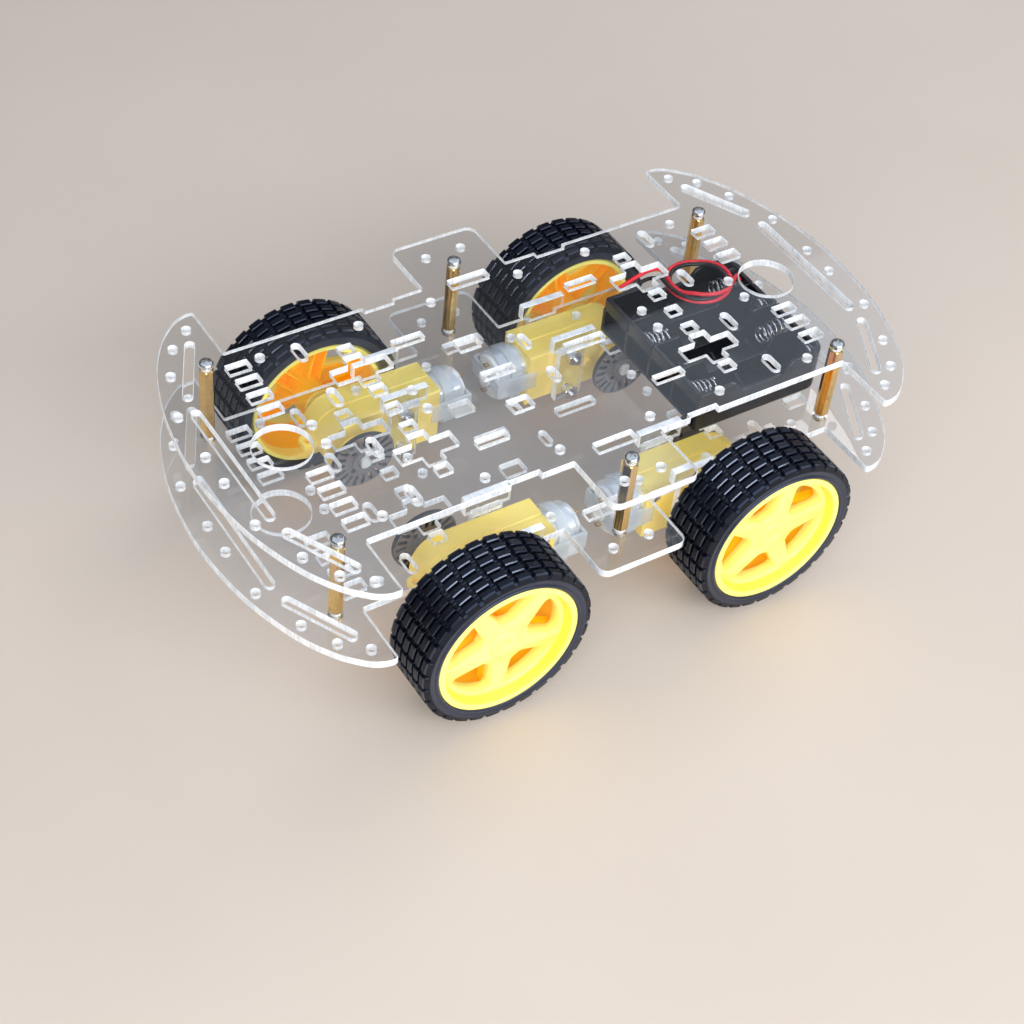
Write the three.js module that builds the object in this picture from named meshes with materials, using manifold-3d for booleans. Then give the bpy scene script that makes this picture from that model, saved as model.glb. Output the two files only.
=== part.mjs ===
// Four wheel robot chassis: two clear decks on six hex standoffs, four geared
// motors hung under the lower deck, four wheels, encoder discs, a battery tray
// with its two leads. Millimetres, +Z up, +X towards the battery end, origin
// on the floor under the middle of the machine.
import * as THREE from 'three';
import { mergeVertices } from 'three/addons/utils/BufferGeometryUtils.js';
import Module from 'manifold-3d';

const wasm = await Module();
wasm.setup();

// ---- driving dimensions -------------------------------------------------
const GAP = 0.3;                 // between pieces that touch in the real thing
const WHEEL_R = 34.0;            // tyre outside radius
const WHEEL_W = 25.0;            // tyre width
const WHEEL_OUT = 81.5;          // outer face of a wheel, from the centre line
const AXLE_Z = WHEEL_R;
const AXLE_X = 58.0;             // half wheelbase
const DECK_T = 3.0;              // clear sheet thickness
const DECK_LO = AXLE_Z + 11.55;   // lower deck, underside
const DECK_LO_TOP = DECK_LO + DECK_T;
const STAND_H = 30.0;            // standoff length
const DECK_UP = DECK_LO_TOP + STAND_H;      // upper deck, underside
const DECK_UP_TOP = DECK_UP + DECK_T;
const HALF_W = 52.0;             // half width of the deck body
const TIP_Y = 77.0;              // half width over bumper tips and side tabs
const BUMP_X = 99.8;             // straight back edge of the bumpers
const TAB_X = 18.2;              // half length of a side tab
const SLOT_X = 37.4;             // bracket slots, from the centre
const SLOT_Y = 29.3;
const NOTCH_Y = 49.9;            // bottom of the edge notch for an outer bracket
const GB_Y0 = 31.1;              // gearbox inner and outer faces
const GB_Y1 = 49.9;
const GB_H = 22.5;
const GB_END = 38.0;             // axle to the motor joint
const GB_MID = (GB_Y0 + GB_Y1) / 2;
const BOLT_DZ = 8.75;            // half spacing of the gearbox bolt holes
const CAN_END = 53.2;            // axle to the back of the motor
const DISC_R = 13.0;             // encoder disc
const DISC_Y = 22.7;
const RIM_R = 28.0;              // wheel rim, outside
const STANDOFFS = [[-108.3, 48.4], [-108.3, -48.4], [0.2, 60.0], [0.2, -60.0], [103.2, 44.4], [103.2, -44.4]];
const TRAY = { x0: 52.5, x1: 112.5, y: 31.8, z0: DECK_LO_TOP + GAP, z1: DECK_LO_TOP + 16.3 };
const COIL = { x: 90.1, y: 23.2, r: 12.0, dr: 1.9, z0: TRAY.z1 + GAP, h: 4.4 };
const LEAD_D = 1.6;

// ---- materials ----------------------------------------------------------
const MAT = {
  acrylic: () => new THREE.MeshStandardMaterial({ color: 0xdfe6ea, transparent: true, opacity: 0.35, roughness: 0.1 }),
  brass: () => new THREE.MeshStandardMaterial({ color: 0xc8a24a, metalness: 1, roughness: 0.3 }),
  steel: () => new THREE.MeshStandardMaterial({ color: 0xc9ccd0, metalness: 1, roughness: 0.3 }),
  yellow: () => new THREE.MeshStandardMaterial({ color: 0xf2c81e, roughness: 0.45 }),
  rimyellow: () => new THREE.MeshStandardMaterial({ color: 0xf8e11c, roughness: 0.35 }),
  rubber: () => new THREE.MeshStandardMaterial({ color: 0x1b1c20, roughness: 0.8 }),
  black: () => new THREE.MeshStandardMaterial({ color: 0x17181b, roughness: 0.4 }),
  white: () => new THREE.MeshStandardMaterial({ color: 0xf2f2ee, roughness: 0.4 }),
  red: () => new THREE.MeshStandardMaterial({ color: 0xc8141e, roughness: 0.4 }),
};

const group = new THREE.Group();

// closed, welded, outward facing
function clean(geometry) {
  const g = geometry.clone();
  if (g.attributes.normal) g.deleteAttribute('normal');
  if (g.attributes.uv) g.deleteAttribute('uv');
  const m = mergeVertices(g, 1e-4);
  const p = m.attributes.position;
  const idx = m.index.array;
  const out = [];
  let vol = 0;
  const a = new THREE.Vector3(), b = new THREE.Vector3(), c = new THREE.Vector3();
  for (let i = 0; i < idx.length; i += 3) {
    const [i0, i1, i2] = [idx[i], idx[i + 1], idx[i + 2]];
    if (i0 === i1 || i1 === i2 || i0 === i2) continue;
    a.fromBufferAttribute(p, i0); b.fromBufferAttribute(p, i1); c.fromBufferAttribute(p, i2);
    vol += a.dot(b.clone().cross(c));
    out.push(i0, i1, i2);
  }
  if (vol < 0) for (let i = 0; i < out.length; i += 3) [out[i + 1], out[i + 2]] = [out[i + 2], out[i + 1]];
  m.setIndex(out);
  return m;
}
function toManifold(geometry) {
  const m = clean(geometry);
  return new wasm.Manifold(new wasm.Mesh({
    numProp: 3,
    vertProperties: new Float32Array(m.attributes.position.array),
    triVerts: new Uint32Array(m.index.array),
  }));
}
function fromManifold(man) {
  const mesh = man.getMesh();
  const g = new THREE.BufferGeometry();
  const n = mesh.numProp;
  const pos = new Float32Array((mesh.vertProperties.length / n) * 3);
  for (let i = 0; i < pos.length / 3; i++) for (let k = 0; k < 3; k++) pos[i * 3 + k] = mesh.vertProperties[i * n + k];
  g.setAttribute('position', new THREE.BufferAttribute(pos, 3));
  g.setIndex(new THREE.BufferAttribute(new Uint32Array(mesh.triVerts), 1));
  return g;
}
function add(name, geometry, material) {
  const g = clean(geometry);
  g.computeVertexNormals();
  const mesh = new THREE.Mesh(g, material);
  mesh.name = name;
  group.add(mesh);
}

// ---- shape helpers ------------------------------------------------------
const polyShape = (pts) => new THREE.Shape(pts.map(([x, y]) => new THREE.Vector2(x, y)));
const ring = (cx, cy, r, n, ph = 0) => Array.from({ length: n }, (_, i) => {
  const t = ph + (i / n) * 2 * Math.PI;
  return [cx + r * Math.cos(t), cy + r * Math.sin(t)];
});
const rectPts = (cx, cy, w, h) => [[cx - w / 2, cy - h / 2], [cx + w / 2, cy - h / 2], [cx + w / 2, cy + h / 2], [cx - w / 2, cy + h / 2]];
// slot with round ends from a to b, half width r
function capsule(ax, ay, bx, by, r, n = 3) {
  const t = Math.atan2(by - ay, bx - ax);
  const pts = [];
  for (let i = 0; i <= n; i++) { const u = t - Math.PI / 2 + (i / n) * Math.PI; pts.push([bx + r * Math.cos(u), by + r * Math.sin(u)]); }
  for (let i = 0; i <= n; i++) { const u = t + Math.PI / 2 + (i / n) * Math.PI; pts.push([ax + r * Math.cos(u), ay + r * Math.sin(u)]); }
  return pts;
}
function prism(pts, z0, z1) {
  const g = new THREE.ExtrudeGeometry(polyShape(pts), { depth: z1 - z0, bevelEnabled: false, steps: 1 });
  g.translate(0, 0, z0);
  return g;
}
function extrudeZ(pts, z0, z1, holes = []) {
  const g = prism(pts, z0, z1);
  if (!holes.length) return g;
  let m = toManifold(g);
  for (const h of holes) m = m.subtract(toManifold(prism(h, z0 - 1, z1 + 1)));
  return fromManifold(m);
}
// profile given as (x, z), swept along Y
function extrudeY(pts, y0, y1, holes = []) {
  const g = extrudeZ(pts, 0, y1 - y0, holes);
  g.rotateX(Math.PI / 2);
  g.translate(0, y1, 0);
  return g;
}
// profile given as (y, z), swept along X
function extrudeX(pts, x0, x1, holes = []) {
  const g = extrudeZ(pts, 0, x1 - x0, holes);
  g.applyMatrix4(new THREE.Matrix4().makeBasis(new THREE.Vector3(0, 1, 0), new THREE.Vector3(0, 0, 1), new THREE.Vector3(1, 0, 0)));
  g.translate(x0, 0, 0);
  return g;
}
// closed or axis-to-axis profile (r, h), turned about Y, then moved
function latheY(profile, n) { return new THREE.LatheGeometry(profile.map(([r, h]) => new THREE.Vector2(r, h)), n); }
function latheZ(profile, n) { const g = latheY(profile, n); g.rotateX(Math.PI / 2); return g; }
const closeRing = (p) => [...p, p[0]];

// ---- deck outline and cut-outs -----------------------------------------
const ARC = [[102.6, 77.0], [105.4, 76.3], [108.6, 74.7], [111.4, 72.4], [114.0, 69.9], [116.8, 66.8], [119.6, 62.8], [122.2, 58.6], [124.6, 53.9], [127.0, 48.3], [129.2, 42.0], [131.2, 35.6], [132.8, 29.0], [134.2, 21.0], [135.2, 13.0], [135.8, 5.0]];
function deckOutline() {
  const q = [];
  q.push([14.2, TIP_Y], [15.7, TIP_Y - 0.3], [17.0, TIP_Y - 1.2], [17.9, TIP_Y - 2.5], [TAB_X, TIP_Y - 4]);
  q.push([TAB_X, HALF_W], [SLOT_X - 6.2, HALF_W], [SLOT_X - 6.2, NOTCH_Y], [SLOT_X + 6.2, NOTCH_Y], [SLOT_X + 6.2, HALF_W], [BUMP_X, HALF_W], [BUMP_X, 76.2], [BUMP_X + 0.8, TIP_Y]);
  q.push(...ARC);
  const up = q;                                        // first quadrant, towards +X
  const right = [...up, ...up.map(([x, y]) => [x, -y]).reverse()];
  const left = right.map(([x, y]) => [-x, -y]);
  return [...right, ...left];
}
const both = (list) => list.flatMap((f) => [1, -1].flatMap((sx) => [1, -1].map((sy) => f(sx, sy))));
function deckHoles(n) {
  const H = [];
  const c = (x, y, r = 1.65) => H.push(ring(x, y, r, n));
  H.push(capsule(-122.3, -27.4, -122.3, 27.4, 1.75), capsule(122.3, -27.4, 122.3, 27.4, 1.75));
  for (const sx of [-1, 1]) {
    for (const sy of [-1, 1]) {
      H.push(capsule(sx * 120.8, sy * 37.2, sx * 108.6, sy * 60.9, 1.75));
      c(sx * 128.7, sy * 7); c(sx * 128.4, sy * 29); c(sx * 121.6, sy * 49); c(sx * 114.8, sy * 61.8); c(sx * 106.0, sy * 69.2);
      c(sx * 89.3, sy * 44.3); c(sx * 89.3, sy * 5.2); c(sx * 49.4, sy * 44.3); c(sx * 49.3, sy * 5.3); c(sx * 19.0, sy * 44.2); c(sx * 7.6, sy * 67.4);
      for (const y of (sx < 0 ? [17.9, 26.2, 34.5, 42.8] : [17.9, 26.2, 34.5])) H.push(rectPts(sx * 98.5, sy * y, 8.6, 4.8));
      const cx = sx * 60, cy = sy * 22.7;
      H.push([[-3.5, -8], [3.5, -8], [3.5, -3.5], [11.25, -3.5], [11.25, 3.5], [3.5, 3.5], [3.5, 8], [-3.5, 8], [-3.5, 3.5], [-11.25, 3.5], [-11.25, -3.5], [-3.5, -3.5]].map(([x, y]) => [cx + x, cy + y]));
      H.push(rectPts(sx * 60, sy * 10.6, 5.6, 4.6), rectPts(sx * 60, sy * 34.4, 5.6, 4.6));
      H.push(capsule(sx * 75.4, sy * 38.0, sx * 75.4, sy * 43.4, 1.75), capsule(sx * 75.4, sy * 11.5, sx * 75.4, sy * 16.9, 1.75));
      H.push(rectPts(sx * SLOT_X, sy * SLOT_Y, 12.4, 3.7));
    }
    H.push(ring(sx * 103.5, 0, 10.6, 24));
    H.push(rectPts(sx * 60, 0, 5.6, 4.6));
  }
  for (const sy of [-1, 1]) {
    H.push(capsule(0.4, sy * 7.8, 0.4, sy * 12.2, 1.5));
    H.push(rectPts(0.4, sy * 49.6, 16.2, 4.6));
    H.push(rectPts(-18.9, sy * 18.2, 8.6, 6.2));
  }
  H.push(rectPts(-17.0, 0, 13.2, 3.6), rectPts(20.0, 0, 16.6, 3.8));
  for (const [x, y] of STANDOFFS) H.push(ring(x, y, 1.75, n, Math.PI / n));
  return H;
}
const DECK = deckOutline();
add('lower_deck', extrudeZ(DECK, DECK_LO, DECK_LO_TOP, deckHoles(6)), MAT.acrylic());
add('upper_deck', extrudeZ(DECK, DECK_UP, DECK_UP_TOP, deckHoles(6)), MAT.acrylic());

// ---- standoffs and their top screws ------------------------------------
const tag = ['rear_left', 'rear_right', 'mid_left', 'mid_right', 'front_left', 'front_right'];
STANDOFFS.forEach(([x, y], i) => {
  const hex = ring(x, y, 5.0 / Math.sqrt(3), 6, Math.PI / 6);
  const g = extrudeZ(hex, DECK_LO_TOP + GAP, DECK_UP - GAP, [ring(x, y, 1.7, 10)]);
  add(`standoff_${tag[i]}`, g, MAT.brass());
  const z = DECK_UP_TOP + GAP;
  const s = latheZ([[0, z - 10], [1.45, z - 10], [1.45, z], [2.8, z], [2.8, z + 0.9], [2.0, z + 1.9], [0, z + 2.2]], 10);
  s.translate(x, y, 0);
  add(`deck_screw_${tag[i]}`, s, MAT.steel());
});

// ---- motors, brackets, wheels ------------------------------------------
// name, side along X, side along Y, angle at which the wheel stands
const CORNERS = [['rear_left', -1, 1, 30], ['rear_right', -1, -1, 15], ['front_left', 1, 1, 57], ['front_right', 1, -1, 42]];
for (const [name, sx, sy, stand] of CORNERS) {
  const ax = sx * AXLE_X;
  const dir = -sx;                                     // towards the middle
  const yspan = (a, b) => (sy > 0 ? [a, b] : [-b, -a]);
  const prof = (pts) => { const p = pts.map(([s, z]) => [ax + dir * s, AXLE_Z + z]); return dir > 0 ? p : p.reverse(); };

  // gearbox: round nose with a lug, straight body, bore for the output shaft
  const nose = [];
  for (let i = 0; i <= 10; i++) { const t = Math.PI / 2 + (i / 10) * Math.PI; nose.push([11.25 * Math.cos(t), 11.25 * Math.sin(t)]); }
  const k = GB_H / 2;
  const body = prof([[GB_END, -k], [GB_END, k], ...nose]);
  const [g0, g1] = yspan(GB_Y0, GB_Y1);
  const holes = [ring(ax, AXLE_Z, 3.0, 12), ...[-1, 1].map((s) => ring(ax + dir * (AXLE_X - SLOT_X), AXLE_Z + s * BOLT_DZ, 1.75, 8))];
  let gb = toManifold(extrudeY(body, g0, g1, holes));
  const lug = prof([[-10.2, -2.75], [-10.2, 2.75], [-16.2, 2.75], [-16.2, -2.75]]);
  gb = gb.add(toManifold(extrudeY(lug, sy * GB_MID - 3, sy * GB_MID + 3)));
  add(`gearbox_${name}`, fromManifold(gb), MAT.yellow());

  // motor: round can with two flats, and the stepped plastic back
  const can = (r, f) => {
    const a = Math.asin(f / r), pts = [];
    for (let i = 0; i <= 6; i++) { const t = Math.PI / 2 - a + (i / 6) * 2 * a; pts.push([r * Math.cos(t), r * Math.sin(t)]); }
    for (let i = 0; i <= 6; i++) { const t = -Math.PI / 2 - a + (i / 6) * 2 * a; pts.push([r * Math.cos(t), r * Math.sin(t)]); }
    return pts.map(([y, z]) => [sy * GB_MID + y, AXLE_Z + z]);
  };
  const xs = (a, b) => { const p = [ax + dir * a, ax + dir * b]; return [Math.min(...p), Math.max(...p)]; };
  let m = toManifold(extrudeX(can(10.0, 7.5), ...xs(GB_END + GAP, 49.0)));
  m = m.add(toManifold(extrudeX(can(9.2, 7.0), ...xs(48.0, 51.4))));
  m = m.add(toManifold(extrudeX(ring(sy * GB_MID, AXLE_Z, 3.2, 12), ...xs(50.0, CAN_END))));
  add(`motor_${name}`, fromManifold(m), MAT.steel());

  // output shaft, double flat, through gearbox, disc and wheel hub
  const rr = 2.7, half = Math.asin(1.85 / rr), sh = [];
  for (const mid of [-Math.PI / 2, Math.PI / 2]) for (let i = 0; i <= 3; i++) { const t = mid - half + (i / 3) * 2 * half; sh.push([rr * Math.cos(t), rr * Math.sin(t)]); }
  add(`shaft_${name}`, extrudeY(sh.map(([x, z]) => [ax + x, AXLE_Z + z]), ...yspan(19.6, 62.0)), MAT.white());

  // encoder disc with its hub, on the inner end of the shaft
  const disc = latheY(closeRing([[2.95, 20.2], [5.0, 20.2], [5.0, 21.7], [DISC_R, 21.7], [DISC_R, 23.7], [5.0, 23.7], [5.0, 26.2], [2.95, 26.2]]), 20);
  if (sy < 0) disc.rotateZ(Math.PI);
  disc.translate(ax, 0, AXLE_Z);
  add(`encoder_disc_${name}`, disc, MAT.black());

  // wheel: rim with lip, barrel, five-window spoke disc and long hub; tyre
  const W = (h) => WHEEL_OUT - h;                      // distance in from the outer face
  const rim = toManifold(latheY(closeRing([
    [2.95, W(17)], [2.95, W(25.4)], [6.0, W(25.4)], [6.4, W(9.3)], [24.9, W(9.2)], [25.4, W(24.0)], [27.0, W(24.0)], [RIM_R, W(22.6)], [RIM_R, W(0)], [25.6, W(0)], [24.6, W(3.4)], [8, W(3.0)], [2.95, W(2.6)],
  ]), 24)).add(toManifold(latheY([[0, W(2.6)], [3.2, W(2.6)], [3.2, W(17)], [0, W(17)]], 24)));
  const wins = [];
  for (let i = 0; i < 5; i++) {
    const t = (i / 5) * 2 * Math.PI + (sy > 0 ? stand : 180 - stand) * Math.PI / 180;
    const P = (r, u) => [r * Math.cos(t) - u * Math.sin(t), r * Math.sin(t) + u * Math.cos(t)];
    wins.push([P(11.5, -2.6), P(11.5, 2.6), P(20.6, 7.4), P(22.4, 3.8), P(22.9, 0), P(22.4, -3.8), P(20.6, -7.4)].reverse());
  }
  let hub = rim;
  for (const w of wins) hub = hub.subtract(toManifold(extrudeY(w, W(10.5), W(1))));
  const hubG = fromManifold(hub);
  const tyre = latheY(closeRing([[28.3, W(24.0)], [29.5, W(25.0)], [32.4, W(25.0)], [WHEEL_R, W(23.2)], [WHEEL_R, W(1.8)], [32.4, W(0.0)], [29.2, W(0.0)], [28.3, W(0.6)]]), 36);
  for (const g of [hubG, tyre]) { if (sy < 0) g.rotateZ(Math.PI); g.translate(ax, 0, AXLE_Z); }
  add(`wheel_${name}`, hubG, MAT.rimyellow());
  add(`tyre_${name}`, tyre, MAT.rubber());

  // two clear T brackets clamp the gearbox: the stem hangs through the deck
  const bx = sx * SLOT_X, zt = DECK_LO_TOP + GAP;
  const tee = [[bx - 5.9, AXLE_Z - 12.6], [bx + 5.9, AXLE_Z - 12.6], [bx + 5.9, zt], [bx + 9.6, zt], [bx + 9.6, zt + 6.2], [bx - 9.6, zt + 6.2], [bx - 9.6, zt], [bx - 5.9, zt]];
  const bh = [-1, 1].map((s) => ring(bx, AXLE_Z + s * BOLT_DZ, 1.75, 8));
  add(`bracket_inner_${name}`, extrudeY(tee, ...yspan(GB_Y0 - GAP - 3.0, GB_Y0 - GAP), bh), MAT.acrylic());
  add(`bracket_outer_${name}`, extrudeY(tee, ...yspan(GB_Y1 + GAP, GB_Y1 + GAP + 3.0), bh), MAT.acrylic());
  for (const [w, s] of [['upper', 1], ['lower', -1]]) {
    const y1 = GB_Y1 + GAP + 3.0 + GAP;
    const b = latheY([[0, 23.6], [1.45, 23.6], [1.45, y1], [2.8, y1], [2.8, y1 + 0.8], [2.0, y1 + 1.7], [0, y1 + 1.9]], 8);
    if (sy < 0) b.rotateZ(Math.PI);
    b.translate(bx, 0, AXLE_Z + s * BOLT_DZ);
    add(`motor_bolt_${w}_${name}`, b, MAT.steel());
  }
}

// ---- battery tray: four AA bays side by side ----------------------------
{
  const { x0, x1, y, z0, z1 } = TRAY;
  const R = 7, pts = [];
  pts.push([x0, -y], [x1 - R, -y]);
  for (let i = 1; i <= 4; i++) { const t = -Math.PI / 2 + (i / 4) * Math.PI / 2; pts.push([x1 - R + R * Math.cos(t), -y + R + R * Math.sin(t)]); }
  for (let i = 0; i <= 4; i++) { const t = (i / 4) * Math.PI / 2; pts.push([x1 - R + R * Math.cos(t), y - R + R * Math.sin(t)]); }
  pts.push([x0, y]);
  let t = toManifold(extrudeZ(pts, z0, z1));
  const pitch = 15.5, bw = 14.6;
  for (let i = 0; i < 4; i++) {
    const cy = (i - 1.5) * pitch;
    t = t.subtract(toManifold(extrudeZ(rectPts((x0 + x1) / 2, cy, x1 - x0 - 4.0, bw), z0 + 1.6, z1 + 1)));
  }
  // finger cut-outs in the three dividers
  t = t.subtract(toManifold(extrudeZ(rectPts((x0 + x1) / 2, 0, 30, 2 * pitch + 4), z0 + 8.6, z1 + 1)));
  add('battery_tray', fromManifold(t), MAT.black());
}

// ---- battery leads ------------------------------------------------------
function tube(points, d) {
  const curve = new THREE.CatmullRomCurve3(points.map((p) => new THREE.Vector3(...p)), false, 'centripetal');
  const n = Math.max(3, Math.round(curve.getLength() / (2.4 * d)));
  const s = polyShape(ring(0, 0, d / 2, 8));
  return new THREE.ExtrudeGeometry(s, { steps: n, bevelEnabled: false, extrudePath: curve });
}
{
  const { x, y, r, dr, z0, h } = COIL;
  const g = latheZ(closeRing([[r - dr, z0 + 0.8], [r - dr + 0.8, z0], [r + dr - 0.8, z0], [r + dr, z0 + 0.8], [r + dr, z0 + h - 0.8], [r + dr - 0.8, z0 + h], [r - dr + 0.8, z0 + h], [r - dr, z0 + h - 0.8]]), 24);
  g.translate(x, y, 0);
  add('lead_coil', g, MAT.red());
}
const LEADS = {
  red_root: [[109.5, 20.6, 62.6], [108.9, 20.45, 64.2], [107.6, 20.0, 65.5], [105.9, 19.2, 66.1], [104.2, 18.4, 66.1]],
  black_root: [[109.5, 23.4, 62.6], [108.9, 23.5, 64.2], [107.7, 23.5, 65.5], [106.3, 23.3, 66.05], [105.3, 22.9, 66.1]],
  red_tail: [[82.0, 36.0, 66.8], [79.6, 37.6, 66.6], [76.6, 38.9, 65.6], [73.0, 39.7, 63.8], [69.0, 40.3, 61.4], [65.0, 40.9, 59.2]],
  black_tail: [[80.6, 34.9, 65.2], [78.0, 36.0, 65.0], [75.0, 36.8, 63.8], [72.0, 37.4, 62.0], [69.0, 37.8, 60.2]],
};
for (const [name, pts] of Object.entries(LEADS)) add(`lead_${name}`, tube(pts, LEAD_D), name.startsWith('red') ? MAT.red() : MAT.black());

export default group;
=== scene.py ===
import bpy, bmesh, math
import numpy as np
from mathutils import Vector, Matrix, noise


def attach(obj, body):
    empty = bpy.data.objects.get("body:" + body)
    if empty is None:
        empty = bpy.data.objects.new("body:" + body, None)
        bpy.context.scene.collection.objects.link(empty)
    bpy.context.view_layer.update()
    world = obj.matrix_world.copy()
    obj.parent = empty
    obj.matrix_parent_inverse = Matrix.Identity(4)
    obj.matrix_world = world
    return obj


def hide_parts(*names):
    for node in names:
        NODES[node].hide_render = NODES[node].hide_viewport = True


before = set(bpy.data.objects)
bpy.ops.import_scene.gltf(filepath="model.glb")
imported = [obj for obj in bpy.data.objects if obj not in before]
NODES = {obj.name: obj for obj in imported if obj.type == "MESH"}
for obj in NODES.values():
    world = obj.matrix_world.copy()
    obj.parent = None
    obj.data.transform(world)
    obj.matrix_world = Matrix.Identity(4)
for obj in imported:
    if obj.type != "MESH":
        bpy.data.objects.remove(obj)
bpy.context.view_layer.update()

scene = bpy.context.scene
MM = 0.001

# ---------------------------------------------------------------- dimensions (mm)
AX_X, AX_Z, WHEEL_OUT = 58.0, 34.0, 81.5
T = 3.0
LO = AX_Z + 11.55
LOT = LO + T
UP = LOT + 30.0
UPT = UP + T
SLOT_X, SLOT_Y = 37.4, 29.3
GB_Y0, GB_Y1 = 31.1, 49.9
GB_MID = (GB_Y0 + GB_Y1) / 2
BOLT_DZ = 8.75
STANDOFFS = [("rear_left", -108.3, 48.4), ("rear_right", -108.3, -48.4), ("mid_left", 0.2, 60.0), ("mid_right", 0.2, -60.0), ("front_left", 103.2, 44.4), ("front_right", 103.2, -44.4)]
CORNERS = [("rear_left", -1, 1, 30), ("rear_right", -1, -1, 15), ("front_left", 1, 1, 57), ("front_right", 1, -1, 42)]
TRAY = dict(x0=52.5, x1=112.5, y=31.8, z0=LOT + 0.3, z1=LOT + 16.3)

# ---------------------------------------------------------------- camera
cam_data = bpy.data.cameras.new("view_camera")
cam_data.lens = 73.93
cam_data.sensor_width = 36.0
cam_data.clip_start = 0.01
cam = bpy.data.objects.new("view_camera", cam_data)
scene.collection.objects.link(cam)
RT = Vector((0.84610227, -0.52648095, 0.08323917))
DN = Vector((-0.32341141, -0.63120999, -0.70496738))
FW = Vector((0.42369329, 0.56955401, -0.70433815))
rot = Matrix((RT, -DN, -FW)).transposed().to_4x4()
cam.matrix_world = Matrix.Translation(Vector((-0.34743, -0.46234, 0.52681 + 0.04855))) @ rot
scene.camera = cam

# ---------------------------------------------------------------- node helpers
def new_mat(name):
    m = bpy.data.materials.new(name)
    m.use_nodes = True
    nt = m.node_tree
    nt.nodes.clear()
    out = nt.nodes.new("ShaderNodeOutputMaterial")
    return m, nt, out


def nd(nt, kind, **kw):
    n = nt.nodes.new(kind)
    for k, v in kw.items():
        if k.startswith("_"):
            setattr(n, k[1:], v)
        else:
            n.inputs[k.replace("__", " ")].default_value = v
    return n


def link(nt, a, b):
    nt.links.new(a, b)


def ramp(nt, fac, stops):
    r = nt.nodes.new("ShaderNodeValToRGB")
    els = r.color_ramp.elements
    while len(els) < len(stops):
        els.new(0.5)
    for e, (p, c) in zip(els, stops):
        e.position = p
        e.color = (*c, 1) if len(c) == 3 else c
    link(nt, fac, r.inputs["Fac"])
    return r.outputs["Color"]


def grey(v):
    return (v, v, v)


def coords(nt, scale=(1, 1, 1)):
    g = nt.nodes.new("ShaderNodeTexCoord")
    m = nt.nodes.new("ShaderNodeMapping")
    m.inputs["Scale"].default_value = scale
    link(nt, g.outputs["Object"], m.inputs["Vector"])
    return m.outputs["Vector"]


def noise_tex(nt, vec, scale, detail=4, rough=0.55):
    n = nd(nt, "ShaderNodeTexNoise", Scale=scale, Detail=detail, Roughness=rough)
    link(nt, vec, n.inputs["Vector"])
    return n.outputs["Fac"]


def bump(nt, height, dist, strength=1.0, normal=None):
    b = nd(nt, "ShaderNodeBump", Strength=strength, Distance=dist)
    link(nt, height, b.inputs["Height"])
    if normal is not None:
        link(nt, normal, b.inputs["Normal"])
    return b.outputs["Normal"]


def plastic(name, c0, c1, rough=(0.32, 0.42), grain=900, grain_mm=0.012, blotch=60, metallic=0.0, spec=0.5, coat=0.0, sss=0.0, stretch=(1, 1, 1), grime=None):
    """Base colour drifts between c0 and c1, roughness drifts, fine bump."""
    m, nt, out = new_mat(name)
    p = nd(nt, "ShaderNodeBsdfPrincipled", Metallic=metallic)
    p.inputs["Specular IOR Level"].default_value = spec
    p.inputs["Coat Weight"].default_value = coat
    p.inputs["Coat Roughness"].default_value = 0.08
    if sss:
        p.inputs["Subsurface Weight"].default_value = sss
        p.inputs["Subsurface Radius"].default_value = (0.004, 0.0025, 0.0006)
    v = coords(nt, stretch)
    big = noise_tex(nt, v, blotch, 3)
    fine = noise_tex(nt, v, grain, 3, 0.6)
    col = ramp(nt, big, [(0.3, c0), (0.72, c1)])
    if grime is not None:
        g = ramp(nt, noise_tex(nt, v, 420, 5, 0.7), [(0.60, grey(0.0)), (0.78, grey(1.0))])
        mx = nt.nodes.new("ShaderNodeMix")
        mx.data_type = "RGBA"
        mx.inputs["B"].default_value = (*grime, 1)
        sc = nd(nt, "ShaderNodeMath", _operation="MULTIPLY")
        sc.inputs[1].default_value = 0.35
        link(nt, g, sc.inputs[0])
        link(nt, sc.outputs[0], mx.inputs["Factor"])
        link(nt, col, mx.inputs["A"])
        col = mx.outputs["Result"]
    link(nt, col, p.inputs["Base Color"])
    r = ramp(nt, fine, [(0.25, grey(rough[0])), (0.75, grey(rough[1]))])
    link(nt, r, p.inputs["Roughness"])
    link(nt, bump(nt, fine, grain_mm * MM), p.inputs["Normal"])
    link(nt, p.outputs[0], out.inputs["Surface"])
    return m


def metal(name, c0, c1, rough=(0.2, 0.32), stretch=(1, 1, 1), grain=1400, grain_mm=0.006):
    return plastic(name, c0, c1, rough, grain, grain_mm, 90, 1.0, stretch=stretch)


M = {}


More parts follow.
